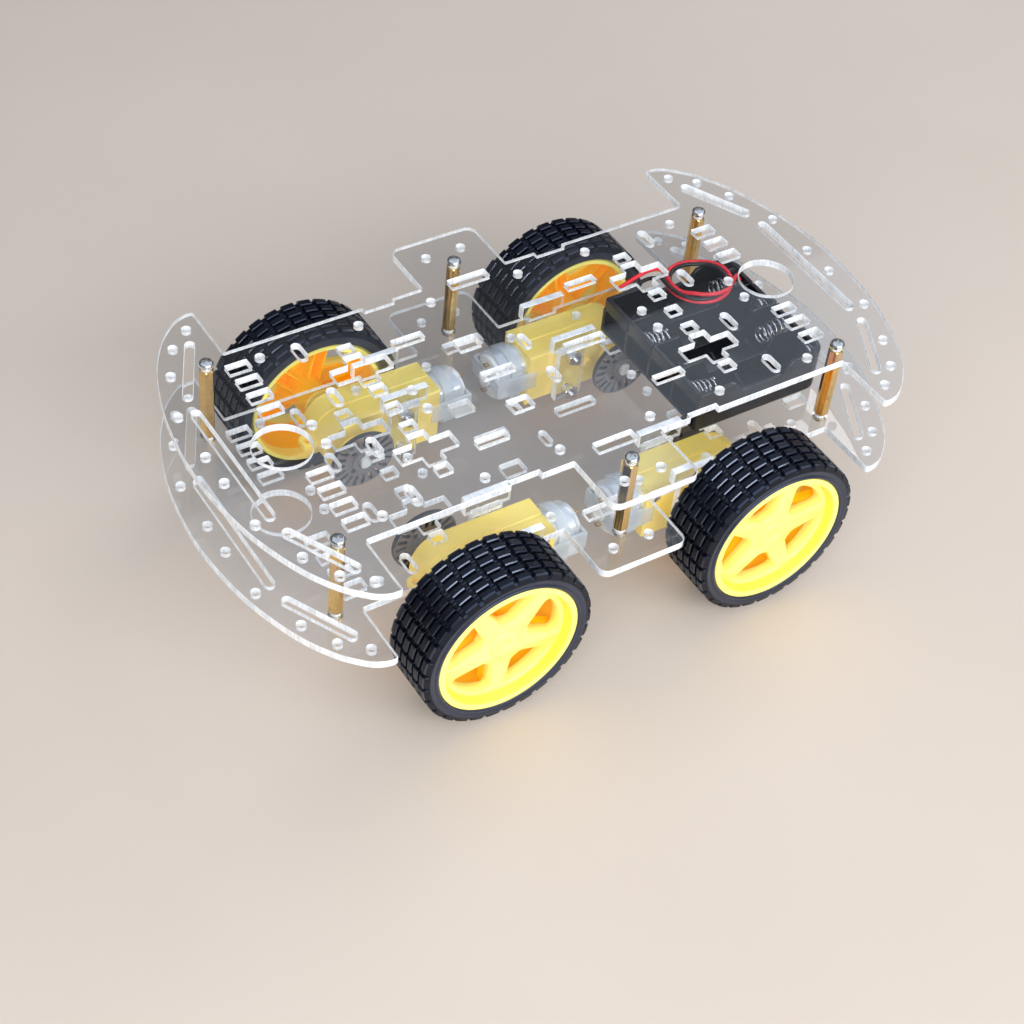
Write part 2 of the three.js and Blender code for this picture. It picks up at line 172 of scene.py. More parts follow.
def acrylic_face():
    """Polished face of clear sheet: mostly see-through, a mirror sheen and a trace of dust."""
    m, nt, out = new_mat("acrylic_face")
    v = coords(nt)
    fres = nd(nt, "ShaderNodeFresnel", IOR=1.72)
    geo = nt.nodes.new("ShaderNodeNewGeometry")
    front = nd(nt, "ShaderNodeMath", _operation="SUBTRACT")
    front.inputs[0].default_value = 1.0
    link(nt, geo.outputs["Backfacing"], front.inputs[1])
    fac = nd(nt, "ShaderNodeMath", _operation="MULTIPLY")
    low = nd(nt, "ShaderNodeMath", _operation="MINIMUM")
    low.inputs[1].default_value = 0.095
    link(nt, fres.outputs[0], low.inputs[0])
    link(nt, low.outputs[0], fac.inputs[0])
    link(nt, front.outputs[0], fac.inputs[1])
    clear = nd(nt, "ShaderNodeBsdfRefraction", Color=(0.925, 0.932, 0.940, 1), Roughness=0.0, IOR=1.49)
    gloss = nd(nt, "ShaderNodeBsdfGlossy", Color=(1, 1, 1, 1))
    scr = noise_tex(nt, coords(nt, (60, 900, 60)), 1.0, 3)
    link(nt, ramp(nt, scr, [(0.35, grey(0.02)), (0.75, grey(0.07))]), gloss.inputs["Roughness"])
    dust = nd(nt, "ShaderNodeBsdfDiffuse", Color=(0.88, 0.9, 0.93, 1))
    speck = noise_tex(nt, v, 650, 6, 0.75)
    wide = noise_tex(nt, v, 18, 3)
    mul = nd(nt, "ShaderNodeMath", _operation="MULTIPLY")
    link(nt, ramp(nt, speck, [(0.45, grey(0.25)), (0.72, grey(1.0))]), mul.inputs[0])
    link(nt, ramp(nt, wide, [(0.3, grey(0.006)), (0.7, grey(0.018))]), mul.inputs[1])
    a = nt.nodes.new("ShaderNodeMixShader")
    link(nt, mul.outputs[0], a.inputs[0])
    link(nt, clear.outputs[0], a.inputs[1])
    link(nt, dust.outputs[0], a.inputs[2])
    b = nt.nodes.new("ShaderNodeMixShader")
    link(nt, fac.outputs[0], b.inputs[0])
    link(nt, a.outputs[0], b.inputs[1])
    link(nt, gloss.outputs[0], b.inputs[2])
    # light on its way to the parts below goes straight through the sheet
    path = nt.nodes.new("ShaderNodeLightPath")
    thru = nd(nt, "ShaderNodeMath", _operation="MAXIMUM")
    link(nt, path.outputs["Is Shadow Ray"], thru.inputs[0])
    link(nt, path.outputs["Is Diffuse Ray"], thru.inputs[1])
    passing = nd(nt, "ShaderNodeBsdfTransparent", Color=(0.982, 0.985, 0.988, 1))
    c = nt.nodes.new("ShaderNodeMixShader")
    link(nt, thru.outputs[0], c.inputs[0])
    link(nt, b.outputs[0], c.inputs[1])
    link(nt, passing.outputs[0], c.inputs[2])
    link(nt, c.outputs[0], out.inputs["Surface"])
    return m


def acrylic_edge(name, deck):
    """Laser-cut edge: light gathered by the sheet comes out here, so it reads white, with fine vertical cut lines."""
    m, nt, out = new_mat(name)
    p = nd(nt, "ShaderNodeBsdfPrincipled")
    p.inputs["Coat Weight"].default_value = 0.6
    p.inputs["Coat Roughness"].default_value = 0.12
    p.inputs["Emission Color"].default_value = (0.93, 0.96, 1.0, 1)
    p.inputs["Emission Strength"].default_value = 0.17
    lines = noise_tex(nt, coords(nt, (1500, 1500, 30)), 1.0, 4, 0.6)
    wide = noise_tex(nt, coords(nt, (260, 260, 260)), 1.0, 3)
    add = nd(nt, "ShaderNodeMath", _operation="MULTIPLY")
    link(nt, lines, add.inputs[0])
    link(nt, wide, add.inputs[1])
    white = ramp(nt, add.outputs[0], [(0.10, (0.66, 0.69, 0.72)), (0.30, (0.95, 0.96, 0.97))])
    if deck:
        # painted shade: on a deck sheet the cut edge darkens towards its bottom face, half as bright at the bottom as
        # at the top
        tc = nt.nodes.new("ShaderNodeTexCoord")
        sep = nt.nodes.new("ShaderNodeSeparateXYZ")
        link(nt, tc.outputs["Generated"], sep.inputs[0])
        painted_edge_shade = ramp(nt, sep.outputs["Z"], [(0.0, (0.50, 0.52, 0.54)), (0.35, (0.62, 0.64, 0.66)), (0.75, grey(1.0))])
        mul = nt.nodes.new("ShaderNodeMix")
        mul.data_type = "RGBA"
        mul.blend_type = "MULTIPLY"
        mul.inputs["Factor"].default_value = 1.0
        link(nt, white, mul.inputs["A"])
        link(nt, painted_edge_shade, mul.inputs["B"])
        white = mul.outputs["Result"]
    link(nt, white, p.inputs["Base Color"])
    link(nt, ramp(nt, lines, [(0.3, grey(0.18)), (0.7, grey(0.4))]), p.inputs["Roughness"])
    link(nt, bump(nt, lines, 0.02 * MM), p.inputs["Normal"])
    tr = nd(nt, "ShaderNodeBsdfTransparent", Color=(0.97, 0.98, 0.99, 1))
    geo = nt.nodes.new("ShaderNodeNewGeometry")
    front_t = ramp(nt, wide, [(0.3, grey(0.12)), (0.7, grey(0.03))])
    lo, hi = (0.22, 0.08) if deck else (0.55, 0.35)
    back_t = ramp(nt, wide, [(0.3, grey(lo)), (0.7, grey(hi))])
    pick = nt.nodes.new("ShaderNodeMix")
    pick.data_type = "RGBA"
    link(nt, geo.outputs["Backfacing"], pick.inputs["Factor"])
    link(nt, front_t, pick.inputs["A"])
    link(nt, back_t, pick.inputs["B"])
    mix = nt.nodes.new("ShaderNodeMixShader")
    link(nt, pick.outputs["Result"], mix.inputs[0])
    link(nt, p.outputs[0], mix.inputs[1])
    link(nt, tr.outputs[0], mix.inputs[2])
    link(nt, mix.outputs[0], out.inputs["Surface"])
    return m


M["face"] = acrylic_face()
M["edge"] = acrylic_edge("acrylic_edge", True)
M["edge_tee"] = acrylic_edge("acrylic_edge_bracket", False)
M["rubber"] = plastic("tyre_rubber", (0.0018, 0.0021, 0.0046), (0.0048, 0.0054, 0.0098), rough=(0.30, 0.42), grain=1500, grain_mm=0.025, blotch=45, spec=0.34, grime=(0.045, 0.047, 0.072))
# painted sheen: the sidewalls get a lighter, bluer copy of the tread rubber
M["side"] = plastic("tyre_side_painted_sheen", (0.017, 0.020, 0.034), (0.030, 0.034, 0.054), rough=(0.28, 0.40), grain=1300, grain_mm=0.014, blotch=55, spec=0.55, grime=(0.09, 0.09, 0.12))
M["rim"] = plastic("rim_yellow_painted_glow", (1.0, 0.86, 0.20), (1.0, 0.91, 0.27), rough=(0.28, 0.38), grain=1100, grain_mm=0.008, blotch=40, spec=0.5, sss=0.25)
# painted glint: the block bevels get a lighter copy of the tread rubber, glossier as well
M["rubber_edge_painted_glint"] = plastic("rubber_edge_painted_glint", (0.012, 0.014, 0.024), (0.022, 0.025, 0.040), rough=(0.13, 0.22), grain=1300, grain_mm=0.004, blotch=55, spec=0.95)
for _k in ("rubber", "side", "rubber_edge_painted_glint"):
    for _p in [n for n in M[_k].node_tree.nodes if n.bl_idname == "ShaderNodeBsdfPrincipled"]:
        _p.inputs["Specular Tint"].default_value = (0.66, 0.78, 1.0, 1)
# painted shade: a deeper yellow copy of the rim plastic for the recessed wall between the lip and the star
M["rim_wall"] = plastic("rim_wall_painted_shade", (1.0, 0.74, 0.075), (1.0, 0.79, 0.10), rough=(0.28, 0.38), grain=1100, grain_mm=0.008, blotch=40, spec=0.5, sss=0.25)
# painted glow: the rim and its recessed wall emit a little light of their own
for _k, _e in (("rim", (1.0, 0.86, 0.14, 1)), ("rim_wall", (1.0, 0.70, 0.04, 1))):
    for _p in [n for n in M[_k].node_tree.nodes if n.bl_idname == "ShaderNodeBsdfPrincipled"]:
        _p.inputs["Emission Color"].default_value = _e
        _p.inputs["Emission Strength"].default_value = 0.07
# painted shade and glow: the inside of the wheel behind the star gets an orange copy of the rim plastic that emits
# light
M["rim_deep_painted_glow"] = plastic("rim_deep_painted_glow", (1.0, 0.50, 0.006), (1.0, 0.60, 0.012), rough=(0.35, 0.5), grain=1100, grain_mm=0.01, blotch=60)
for _p in [n for n in M["rim_deep_painted_glow"].node_tree.nodes if n.bl_idname == "ShaderNodeBsdfPrincipled"]:
    _p.inputs["Emission Color"].default_value = (1.0, 0.47, 0.002, 1)
    _p.inputs["Emission Strength"].default_value = 0.13
M["gear"] = plastic("gearbox_yellow_painted_glow", (1.0, 0.73, 0.14), (1.0, 0.79, 0.20), rough=(0.34, 0.48), grain=1000, grain_mm=0.014, blotch=50, sss=0.2)
# painted glow: the gearbox plastic emits a little light of its own
for _p in [n for n in M["gear"].node_tree.nodes if n.bl_idname == "ShaderNodeBsdfPrincipled"]:
    _p.inputs["Emission Color"].default_value = (1.0, 0.66, 0.10, 1)
    _p.inputs["Emission Strength"].default_value = 0.13
M["can"] = plastic("motor_can", (0.84, 0.88, 0.94), (0.93, 0.95, 0.98), rough=(0.24, 0.40), grain=700, grain_mm=0.006, blotch=90, metallic=0.55, stretch=(1, 6, 6))
M["white"] = plastic("white_plastic", (0.86, 0.86, 0.83), (0.93, 0.93, 0.91), rough=(0.35, 0.5))
M["clearish"] = plastic("strap_clear", (0.80, 0.84, 0.86), (0.9, 0.92, 0.93), rough=(0.15, 0.3))
M["black"] = plastic("black_plastic", (0.0030, 0.0032, 0.0050), (0.0072, 0.0076, 0.0115), rough=(0.24, 0.40), grain=1200, grain_mm=0.012, blotch=70, spec=0.5)
# painted reflection and shade: the disc face is a light grey-brown standing in for the floor it mirrors, its cut walls
# a near-black copy so the slots read as shade
M["encoder"] = plastic("encoder_grey_painted_reflection", (0.17, 0.145, 0.135), (0.24, 0.21, 0.20), rough=(0.24, 0.36), grain=1200, grain_mm=0.01)
M["encoder_edge_painted_shade"] = plastic("encoder_edge_painted_shade", (0.020, 0.018, 0.018), (0.04, 0.036, 0.036), rough=(0.35, 0.5), grain=1200, grain_mm=0.01)
M["brass"] = metal("brass", (0.80, 0.53, 0.20), (0.90, 0.64, 0.28), rough=(0.16, 0.28), stretch=(1, 1, 12), grain=600, grain_mm=0.005)
M["rivet"] = metal("rivet_brass", (0.70, 0.47, 0.22), (0.82, 0.58, 0.30), rough=(0.2, 0.3))
M["steel"] = metal("screw_steel", (0.70, 0.70, 0.69), (0.82, 0.81, 0.79), rough=(0.14, 0.28), grain=1600, grain_mm=0.006)
M["spring"] = metal("spring_steel", (0.82, 0.83, 0.84), (0.92, 0.93, 0.94), rough=(0.20, 0.32))
M["red"] = plastic("red_insulation", (0.80, 0.012, 0.03), (0.88, 0.03, 0.05), rough=(0.22, 0.32), grain=2200, grain_mm=0.006, blotch=300)
M["blackwire"] = plastic("black_insulation", (0.008, 0.008, 0.009), (0.016, 0.016, 0.018), rough=(0.25, 0.36), grain=2200, grain_mm=0.006, blotch=300)
M["copper"] = metal("tinned_copper", (0.75, 0.52, 0.38), (0.85, 0.66, 0.52), rough=(0.25, 0.4), stretch=(1, 1, 1))

# ---------------------------------------------------------------- mesh helpers
def obj_from(name, verts, faces, mats, mat_index=None, smooth=False, body="chassis"):
    me = bpy.data.meshes.new(name)
    me.from_pydata([tuple(c * MM for c in v) for v in verts], [], faces)
    me.validate()
    for m in mats:
        me.materials.append(m)
    if mat_index is not None:
        for poly, i in zip(me.polygons, mat_index):
            poly.material_index = i
    if smooth:
        for poly in me.polygons:
            poly.use_smooth = True
    me.update()
    o = bpy.data.objects.new(name, me)
    scene.collection.objects.link(o)
    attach(o, body)
    return o


class Build:
    """Collects closed bits (mm) into one mesh with several materials."""

    def __init__(self):
        self.v, self.f, self.m, self.s = [], [], [], []

    def add(self, verts, faces, mat=0, smooth=False, xf=None):
        k = len(self.v)
        for p in verts:
            p = Vector(p)
            if xf is not None:
                p = xf @ p
            self.v.append(tuple(p))
        flip = xf is not None and xf.to_3x3().determinant() < 0
        for f in faces:
            f = [i + k for i in f]
            self.f.append(f[::-1] if flip else f)
            self.m.append(mat if isinstance(mat, int) else 0)
            self.s.append(smooth)

    def lathe(self, prof, n=32, mat=0, smooth=True, xf=None, mats=None, phase=0.0):
        """Profile (r, h) about the local Z axis; open ends on the axis are fans, otherwise the profile closes on itself."""
        on_axis = prof[0][0] < 1e-6 and prof[-1][0] < 1e-6
        rows, verts = [], []
        for r, h in prof:
            if r < 1e-6:
                rows.append([len(verts)])
                verts.append((0, 0, h))
            else:
                rows.append(list(range(len(verts), len(verts) + n)))
                for i in range(n):
                    t = phase + 2 * math.pi * i / n
                    verts.append((r * math.cos(t), r * math.sin(t), h))
        pairs = [(i, i + 1) for i in range(len(rows) - 1)]
        if not on_axis:
            pairs.append((len(rows) - 1, 0))
        for q, (a, b) in enumerate(pairs):
            ra, rb = rows[a], rows[b]
            fs = []
            for i in range(n):
                j = (i + 1) % n
                if len(ra) == 1 and len(rb) == 1:
                    continue
                if len(ra) == 1:
                    fs.append((ra[0], rb[j], rb[i]))
                elif len(rb) == 1:
                    fs.append((ra[i], ra[j], rb[0]))
                else:
                    fs.append((ra[i], ra[j], rb[j], rb[i]))
            mi = mats[q] if mats else mat
            k = len(self.v)
            if q == 0:
                base = k
                for p in verts:
                    p = Vector(p)
                    self.v.append(tuple(xf @ p) if xf is not None else tuple(p))
            flip = xf is not None and xf.to_3x3().determinant() < 0
            for f in fs:
                f = [i + base for i in f]
                self.f.append(f[::-1] if flip else f)
                self.m.append(mi)
                self.s.append(smooth)

    def make(self, name, mats, body="chassis", bevel=0.0, seg=1, angle=40, weld=True):
        me = bpy.data.meshes.new(name)
        me.from_pydata([tuple(c * MM for c in v) for v in self.v], [], self.f)
        for m in mats:
            me.materials.append(m)
        for poly, i, s in zip(me.polygons, self.m, self.s):
            poly.material_index = i
            poly.use_smooth = s
        bm = bmesh.new()
        bm.from_mesh(me)
        if weld:
            bmesh.ops.remove_doubles(bm, verts=bm.verts, dist=1e-7)
        bmesh.ops.recalc_face_normals(bm, faces=bm.faces)
        bm.to_mesh(me)
        bm.free()
        me.update()
        o = bpy.data.objects.new(name, me)
        scene.collection.objects.link(o)
        if bevel:
            b = o.modifiers.new("soft_edges", "BEVEL")
            b.width = bevel * MM
            b.segments = seg
            b.limit_method = "ANGLE"
            b.angle_limit = math.radians(angle)
            b.harden_normals = False
            apply_mods(o)
        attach(o, body)
        return o


def apply_mods(o):
    dg = bpy.context.evaluated_depsgraph_get()
    me = bpy.data.meshes.new_from_object(o.evaluated_get(dg))
    old = o.data
    o.modifiers.clear()
    o.data = me
    me.name = old.name
    bpy.data.meshes.remove(old)


def shade_by_angle(o, deg=35):
    me = o.data
    for p in me.polygons:
        p.use_smooth = True
    bm = bmesh.new()
    bm.from_mesh(me)
    lim = math.radians(deg)
    for e in bm.edges:
        e.smooth = len(e.link_faces) == 2 and e.calc_face_angle(0) < lim
    bm.to_mesh(me)
    bm.free()


def sheet_from(name, outline, holes, z0, z1, bevel=0.18, mats=None, xf=None):
    """Flat sheet with cut-outs, small broken edges; slot 0 the faces, slot 1 the cut edges."""
    cu = bpy.data.curves.new(name, "CURVE")
    cu.dimensions = "2D"
    cu.fill_mode = "BOTH"
    cu.extrude = ((z1 - z0) / 2 - bevel) * MM
    cu.bevel_depth = bevel * MM
    cu.bevel_resolution = 0
    cu.offset = -bevel * MM
    for pts in [outline] + holes:
        sp = cu.splines.new("POLY")
        sp.points.add(len(pts) - 1)
        for q, (x, y) in zip(sp.points, pts):
            q.co = (x * MM, y * MM, 0, 1)
        sp.use_cyclic_u = True
    tmp = bpy.data.objects.new(name + "_c", cu)
    scene.collection.objects.link(tmp)
    dg = bpy.context.evaluated_depsgraph_get()
    me = bpy.data.meshes.new_from_object(tmp.evaluated_get(dg))
    bpy.data.objects.remove(tmp)
    bpy.data.curves.remove(cu)
    me.name = name
    me.materials.clear()
    for m in mats or [M["face"], M["edge"]]:
        me.materials.append(m)
    bm = bmesh.new()
    bm.from_mesh(me)
    bmesh.ops.remove_doubles(bm, verts=bm.verts, dist=2e-6)
    bmesh.ops.recalc_face_normals(bm, faces=bm.faces)
    mid = Matrix.Translation((0, 0, (z0 + z1) / 2 * MM))
    bmesh.ops.transform(bm, matrix=mid, verts=bm.verts)
    for f in bm.faces:
        f.material_index = 0 if abs(f.normal.z) > 0.95 else 1
        f.smooth = False
    if xf is not None:
        bmesh.ops.transform(bm, matrix=xf, verts=bm.verts)
        bmesh.ops.recalc_face_normals(bm, faces=bm.faces)
    bm.to_mesh(me)
    bm.free()
    o = bpy.data.objects.new(name, me)
    scene.collection.objects.link(o)
    return o


def ring(cx, cy, r, n, ph=0.0):
    return [(cx + r * math.cos(ph + 2 * math.pi * i / n), cy + r * math.sin(ph + 2 * math.pi * i / n)) for i in range(n)]


def rect(cx, cy, w, h, r=0.5, n=4):
    pts = []
    for sx, sy, a0 in ((1, 1, 0), (-1, 1, 90), (-1, -1, 180), (1, -1, 270)):
        for i in range(n + 1):
            t = math.radians(a0 + 90 * i / n)
            pts.append((cx + sx * (w / 2 - r) + r * math.cos(t), cy + sy * (h / 2 - r) + r * math.sin(t)))
    return pts


def capsule(ax, ay, bx, by, r, n=10):
    t = math.atan2(by - ay, bx - ax)
    pts = []
    for i in range(n + 1):
        u = t - math.pi / 2 + math.pi * i / n
        pts.append((bx + r * math.cos(u), by + r * math.sin(u)))
    for i in range(n + 1):
        u = t + math.pi / 2 + math.pi * i / n
        pts.append((ax + r * math.cos(u), ay + r * math.sin(u)))
    return pts


def round_poly(pts, r, n=3):
    """Rounds every corner of a closed polygon."""
    out = []
    k = len(pts)
    for i in range(k):
        p, a, b = Vector(pts[i]), Vector(pts[i - 1]), Vector(pts[(i + 1) % k])
        da, db = (a - p), (b - p)
        q = min(r, da.length * 0.45, db.length * 0.45)
        s, e = p + da.normalized() * q, p + db.normalized() * q
        for j in range(n + 1):
            t = j / n
            v = s * (1 - t) ** 2 + p * 2 * t * (1 - t) + e * t * t
            out.append((v.x, v.y))
    return out


def catmull(pts, per=6):
    P = [Vector(p) for p in pts]
    P = [P[0] * 2 - P[1]] + P + [P[-1] * 2 - P[-2]]
    out = []
    for i in range(1, len(P) - 2):
        p0, p1, p2, p3 = P[i - 1], P[i], P[i + 1], P[i + 2]
        t0 = 0.0
        t1 = t0 + max((p1 - p0).length, 1e-6) ** 0.5
        t2 = t1 + max((p2 - p1).length, 1e-6) ** 0.5
        t3 = t2 + max((p3 - p2).length, 1e-6) ** 0.5
        for j in range(per):
            t = t1 + (t2 - t1) * j / per
            a1 = p0 * ((t1 - t) / (t1 - t0)) + p1 * ((t - t0) / (t1 - t0))
            a2 = p1 * ((t2 - t) / (t2 - t1)) + p2 * ((t - t1) / (t2 - t1))
            a3 = p2 * ((t3 - t) / (t3 - t2)) + p3 * ((t - t2) / (t3 - t2))
            b1 = a1 * ((t2 - t) / (t2 - t0)) + a2 * ((t - t0) / (t2 - t0))
            b2 = a2 * ((t3 - t) / (t3 - t1)) + a3 * ((t - t1) / (t3 - t1))
            out.append(b1 * ((t2 - t) / (t2 - t1)) + b2 * ((t - t1) / (t2 - t1)))
    out.append(P[-2])
    return out

# ---------------------------------------------------------------- battery leads (declared first)
COIL_C = (90.1, 23.2)


def polar(a, r, z):
    t = math.radians(a)
    return (COIL_C[0] + r * math.cos(t), COIL_C[1] + r * math.sin(t), z)


def sweep(keys, step=15):
    """Interpolates (angle, r, z) keys along the turns."""
    out = []
    for (a0, r0, z0), (a1, r1, z1) in zip(keys, keys[1:]):
        n = max(1, round(abs(a1 - a0) / step))
        for i in range(n):
            u = i / n
            s = u * u * (3 - 2 * u)
            out.append(polar(a0 + (a1 - a0) * u, r0 + (r1 - r0) * s, z0 + (z1 - z0) * s))
    out.append(polar(*keys[-1]))
    return out


RED_ROUTE = [(109.5, 20.6, 62.6), (108.9, 20.45, 64.2), (107.6, 20.0, 65.4), (105.9, 19.2, 65.9)]
RED_ROUTE += sweep([(-24, 14.4, 65.9), (-42, 12.9, 65.78), (-70, 12.5, 65.75), (-300, 12.5, 65.75), (-335, 12.8, 67.0), (-355, 13.05, 67.45), (-405, 13.1, 67.5), (-432, 13.0, 68.9), (-462, 12.2, 69.15), (-492, 11.5, 68.9), (-518, 11.35, 67.55), (-530, 11.35, 67.45), (-566, 11.9, 67.4)])
RED_ROUTE += [(80.7, 32.4, 67.3), (81.7, 34.6, 67.1), (80.9, 36.9, 66.8), (78.2, 38.4, 66.1), (74.2, 39.4, 64.4), (69.6, 40.2, 61.8), (65.0, 40.9, 59.2)]
BLACK_ROUTE = [(109.5, 23.4, 62.6), (108.9, 23.5, 64.2), (107.6, 23.5, 65.4), (105.7, 23.1, 65.85), (103.6, 22.0, 65.8)]
BLACK_ROUTE += sweep([(-16, 12.3, 65.75), (-34, 11.1, 65.75), (-60, 10.8, 65.75), (-300, 10.8, 65.75), (-335, 11.05, 67.0), (-355, 11.3, 67.4), (-432, 11.4, 67.4), (-462, 12.3, 67.4), (-490, 13.05, 67.4), (-540, 13.15, 67.4), (-553, 13.5, 67.3)])
BLACK_ROUTE += [(77.5, 29.2, 66.9), (77.9, 32.2, 66.3), (76.9, 34.7, 65.4), (74.8, 36.2, 64.1), (72.0, 37.2, 62.2), (69.0, 37.8, 60.0)]


def lead(name, route, mat, nodes, strand_seed):
    pts = catmull(route, 4)
    cu = bpy.data.curves.new(name, "CURVE")
    cu.dimensions = "3D"
    cu.bevel_depth = 0.8 * MM
    cu.bevel_resolution = 4
    cu.use_fill_caps = True
    sp = cu.splines.new("POLY")
    sp.points.add(len(pts) - 1)
    for q, p in zip(sp.points, pts):
        q.co = (*(p * MM), 1)
    cu.materials.append(mat)
    o = bpy.data.objects.new(name, cu)
    scene.collection.objects.link(o)
    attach(o, "chassis")
    length = sum((b - a).length for a, b in zip(pts, pts[1:])) * MM
    # bare end: a few tinned strands in a slight twist
    end, d = pts[-1], (pts[-1] - pts[-3]).normalized()
    u = d.orthogonal().normalized()
    w = d.cross(u)
    B = Build()
    for k in range(7):
        a0 = 2 * math.pi * k / 6
        rr = 0.0 if k == 6 else 0.30
        path = []
        for i in range(7):
            t = i / 6
            a = a0 + 1.1 * t
            spread = rr * (1 + 0.5 * t * ((strand_seed + k) % 3) / 2)
            path.append(end + d * (-0.2 + 3.6 * t) + (u * math.cos(a) + w * math.sin(a)) * spread)
        vs, fs = tube_mesh(path, 0.15, 6)
        B.add(vs, fs, 0, True)
    tip = B.make(name + "_bare_end", [M["copper"]], weld=False)
    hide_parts(*nodes)
    return o, length


def tube_mesh(path, r, n=8, closed=False):
    P = [Vector(p) for p in path]
    verts, faces = [], []
    k = len(P)
    tang = []
    for i in range(k):
        a = P[(i - 1) % k] if closed else P[max(i - 1, 0)]
        b = P[(i + 1) % k] if closed else P[min(i + 1, k - 1)]
        tang.append((b - a).normalized())
    nrm = tang[0].orthogonal().normalized()
    for i in range(k):
        nrm = (nrm - tang[i] * nrm.dot(tang[i])).normalized()
        bn = tang[i].cross(nrm)
        for j in range(n):
            t = 2 * math.pi * j / n
            verts.append(tuple(P[i] + (nrm * math.cos(t) + bn * math.sin(t)) * r))
    for i in range(k if closed else k - 1):
        for j in range(n):
            a, b = i * n + j, i * n + (j + 1) % n
            c, d = ((i + 1) % k) * n + (j + 1) % n, ((i + 1) % k) * n + j
            faces.append((a, b, c, d))
    if not closed:
        faces.append(tuple(reversed(range(n))))
        faces.append(tuple(range((k - 1) * n, k * n)))
    return verts, faces


RED, red_len = lead("battery_lead_red", RED_ROUTE, M["red"], ["lead_coil", "lead_red_root", "lead_red_tail"], 1)
BLACK, black_len = lead("battery_lead_black", BLACK_ROUTE, M["blackwire"], ["lead_black_root", "lead_black_tail"], 2)
print("lead lengths", round(red_len, 4), round(black_len, 4))

# ---------------------------------------------------------------- decks
ARC = [(102.6, 77.0), (105.4, 76.3), (108.6, 74.7), (111.4, 72.4), (114.0, 69.9), (116.8, 66.8), (119.6, 62.8), (122.2, 58.6), (124.6, 53.9), (127.0, 48.3), (129.2, 42.0), (131.2, 35.6), (132.8, 29.0), (134.2, 21.0), (135.2, 13.0), (135.8, 5.0)]


def deck_outline():
    q = []
    for i in range(9):
        t = math.radians(90 - 90 * i / 8)
        q.append((14.2 + 4 * math.cos(t), 73 + 4 * math.sin(t)))
    q += round_poly([(18.2, 60), (18.2, 52), (25, 52)], 0.6)[4:8]
    for c in ([(31.2, 52)], [(31.2, 49.9)], [(43.6, 49.9)], [(43.6, 52)]):
        q += c
    q += [(99.3, 52), (99.65, 52.15), (99.8, 52.5), (99.8, 76.0), (100.1, 76.7), (100.8, 77.0)]
    arc = catmull([(x, y, 0) for x, y in ARC] + [(135.9, 0, 0)], 4)[:-1]
    q += [(p.x, p.y) for p in arc if p.y > 0.6]
    right = q + [(135.9, 0.0)] + [(x, -y) for x, y in reversed(q)]
    return right + [(-x, -y) for x, y in right]


def deck_holes():
    H = []
    c = lambda x, y, r=1.65: H.append(ring(x, y, r, 24))
    for sx in (-1, 1):
        H.append(capsule(sx * 122.3, -27.4, sx * 122.3, 27.4, 1.75))
        for sy in (-1, 1):
            H.append(capsule(sx * 120.8, sy * 37.2, sx * 108.6, sy * 60.9, 1.75))
            for x, y in ((128.7, 7), (128.4, 29), (121.6, 49), (114.8, 61.8), (106.0, 69.2), (89.3, 44.3), (89.3, 5.2), (49.4, 44.3), (49.3, 5.3), (19.0, 44.2), (7.6, 67.4)):
                c(sx * x, sy * y)
            for y in ((17.9, 26.2, 34.5, 42.8) if sx < 0 else (17.9, 26.2, 34.5)):
                H.append(rect(sx * 98.5, sy * y, 8.6, 4.8, 0.35))
            cx, cy = sx * 60, sy * 22.7
            cross = [(-3.5, -8), (3.5, -8), (3.5, -3.5), (11.25, -3.5), (11.25, 3.5), (3.5, 3.5), (3.5, 8), (-3.5, 8), (-3.5, 3.5), (-11.25, 3.5), (-11.25, -3.5), (-3.5, -3.5)]
            H.append(round_poly([(cx + x, cy + y) for x, y in cross], 0.35))
            H.append(rect(sx * 60, sy * 10.6, 5.6, 4.6, 0.3))
            H.append(rect(sx * 60, sy * 34.4, 5.6, 4.6, 0.3))
            H.append(capsule(sx * 75.4, sy * 38.0, sx * 75.4, sy * 43.4, 1.75))
            H.append(capsule(sx * 75.4, sy * 11.5, sx * 75.4, sy * 16.9, 1.75))
            H.append(rect(sx * SLOT_X, sy * SLOT_Y, 12.4, 3.7, 0.3))
        H.append(ring(sx * 103.5, 0, 10.6, 64))
        H.append(rect(sx * 60, 0, 5.6, 4.6, 0.3))
    for sy in (-1, 1):
        H.append(capsule(0.4, sy * 7.8, 0.4, sy * 12.2, 1.5))
        H.append(rect(0.4, sy * 49.6, 16.2, 4.6, 0.4))
        H.append(rect(-18.9, sy * 18.2, 8.6, 6.2, 0.4))
    H.append(rect(-17.0, 0, 13.2, 3.6, 0.4))
    H.append(rect(20.0, 0, 16.6, 3.8, 0.4))
    for _, x, y in STANDOFFS:
        H.append(ring(x, y, 1.75, 24))
    return H


OUT, HOLES = deck_outline(), deck_holes()
for nm, z0, z1, node in (("lower_sheet", LO, LOT, "lower_deck"), ("upper_sheet", UP, UPT, "upper_deck")):
    o = sheet_from(nm, OUT, HOLES, z0, z1)
    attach(o, "chassis")
    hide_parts(node)

